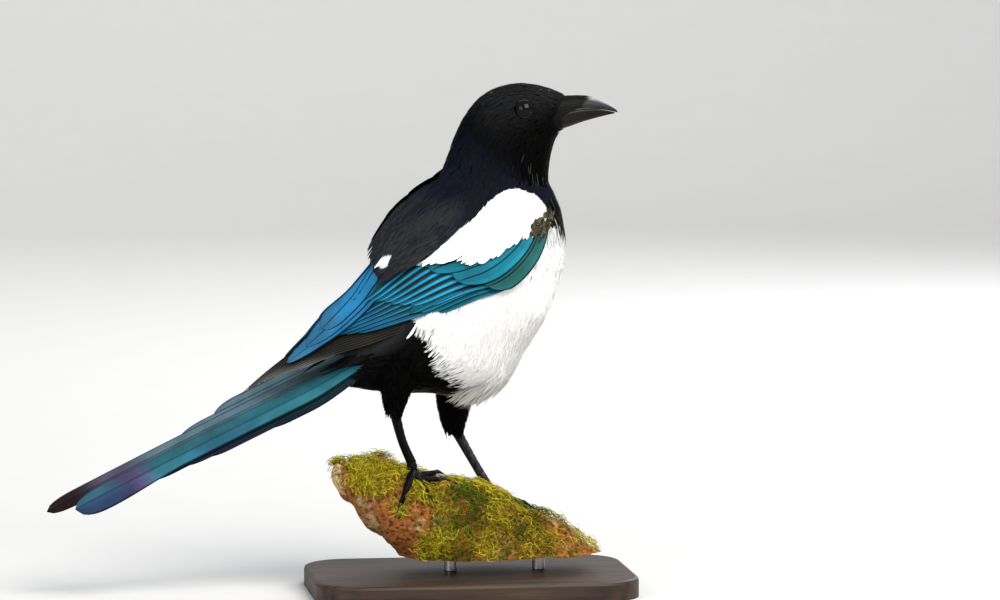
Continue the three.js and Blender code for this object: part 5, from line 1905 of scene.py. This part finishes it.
class MAGPIE_OT_stage(bpy.types.Operator):
    """Camera, soft lights, floor and backdrop"""
    bl_idname = "magpie.stage"
    bl_label = "Stage"

    def execute(self, context):
        stage = settings("stage")
        level = math.cos(CAMERA_RISE)
        back = Vector((math.sin(CAMERA_TURN) * level, -math.cos(CAMERA_TURN) * level, math.sin(CAMERA_RISE)))
        camera = bpy.data.cameras.new("camera")
        camera.sensor_width = SENSOR
        camera.lens = SENSOR * stage.distance / VIEW_WIDTH
        camera.clip_end = 50
        holder = bpy.data.objects.new("camera", camera)
        holder.location = AIM + back * stage.distance
        holder.rotation_euler = (-back).to_track_quat("-Z", "Y").to_euler()
        context.scene.collection.objects.link(holder)
        context.scene.camera = holder
        context.scene.view_settings.view_transform = "Standard"
        self.lights(stage)
        self.floor(stage)
        return {"FINISHED"}

    @staticmethod
    def lights(stage):
        lamps = (
            ("key", (1.0, -2.1, 2.5), AIM, 2.2, 1.0, (1.0, 0.97, 0.92)),
            ("fill", (-2.2, -1.9, 1.2), AIM, 2.0, 0.28, (0.9, 0.95, 1.0)),
            ("rim", (1.4, 1.5, 1.2), AIM, 1.2, 0.2, (0.95, 0.97, 1.0)),
            ("backdrop", (0.0, 1.8, 3.2), (0.0, 4.5, 1.0), 2.5, 0.45, (1.0, 0.99, 0.97)),
        )
        for name, place, target, size, share, colour in lamps:
            lamp = bpy.data.lights.new(name, "AREA")
            lamp.energy = stage.key_power * share
            lamp.size = size
            lamp.color = colour
            holder = bpy.data.objects.new(name, lamp)
            holder.location = place
            holder.rotation_euler = (Vector(target) - Vector(place)).to_track_quat("-Z", "Y").to_euler()
            bpy.context.scene.collection.objects.link(holder)
        world = bpy.data.worlds.new("studio")
        world.use_nodes = True
        sky = world.node_tree.nodes["Background"]
        sky.inputs["Color"].default_value = SKY
        sky.inputs["Strength"].default_value = SKY_STRENGTH
        bpy.context.scene.world = world

    @staticmethod
    def floor(stage):
        """A pale floor that curves up into a backdrop."""
        shader = Shader("floor", Roughness=0.9)
        speckle = shader.noise(30.0, 3.0)
        base = tuple(stage.floor)
        colour = shader.mix(speckle, base, tuple(min(1, 1.04 * c) for c in base))
        material = shader.surface(Base_Color=colour)
        bend = [(FLOOR_FRONT, 0.0), (FLOOR_BACK, 0.0)]
        for angle in np.linspace(0.1, math.pi / 2, 14):
            bend.append((FLOOR_BACK + BEND * math.sin(angle), BEND - BEND * math.cos(angle)))
        bend.append((FLOOR_BACK + BEND, WALL_TOP))
        points = [(x, y, z) for y, z in bend for x in (-FLOOR_HALF, FLOOR_HALF)]
        mesh = bpy.data.meshes.new("floor")
        mesh.from_pydata(points, [], [(2 * i, 2 * i + 1, 2 * i + 3, 2 * i + 2) for i in range(len(bend) - 1)])
        for face in mesh.polygons:
            face.use_smooth = True
        mesh.materials.append(material)
        floor = bpy.data.objects.new("floor", mesh)
        bpy.context.scene.collection.objects.link(floor)


OPERATORS = (
    MAGPIE_OT_stage, MAGPIE_OT_skin, MAGPIE_OT_head_coat, MAGPIE_OT_body_coat, MAGPIE_OT_thigh_coat,
    MAGPIE_OT_wings, MAGPIE_OT_shoulders, MAGPIE_OT_tail, MAGPIE_OT_eyes, MAGPIE_OT_bill, MAGPIE_OT_legs,
    MAGPIE_OT_limb, MAGPIE_OT_moss, MAGPIE_OT_stand,
)


class MAGPIE_PT_panel(bpy.types.Panel):
    """The magpie's settings and its pieces, in the order of making"""
    bl_label = "Magpie"
    bl_idname = "MAGPIE_PT_panel"
    bl_space_type = "VIEW_3D"
    bl_region_type = "UI"
    bl_category = "Magpie"

    def draw(self, context):
        for group, kind in SETTINGS.items():
            box = self.layout.box()
            box.label(text=kind.__doc__)
            for name in kind.__annotations__:
                box.prop(getattr(context.scene, f"magpie_{group}"), name)
        for operator in OPERATORS:
            self.layout.operator(operator.bl_idname)


def register():
    for kind in (*SETTINGS.values(), *OPERATORS, MAGPIE_PT_panel):
        bpy.utils.register_class(kind)
    for group, kind in SETTINGS.items():
        setattr(bpy.types.Scene, f"magpie_{group}", bpy.props.PointerProperty(type=kind))


def unregister():
    for group in SETTINGS:
        delattr(bpy.types.Scene, f"magpie_{group}")
    for kind in reversed((*SETTINGS.values(), *OPERATORS, MAGPIE_PT_panel)):
        bpy.utils.unregister_class(kind)


def main():
    register()
    for operator in OPERATORS:
        module, name = operator.bl_idname.split(".")
        getattr(getattr(bpy.ops, module), name)()


if __name__ == "__main__":
    main()
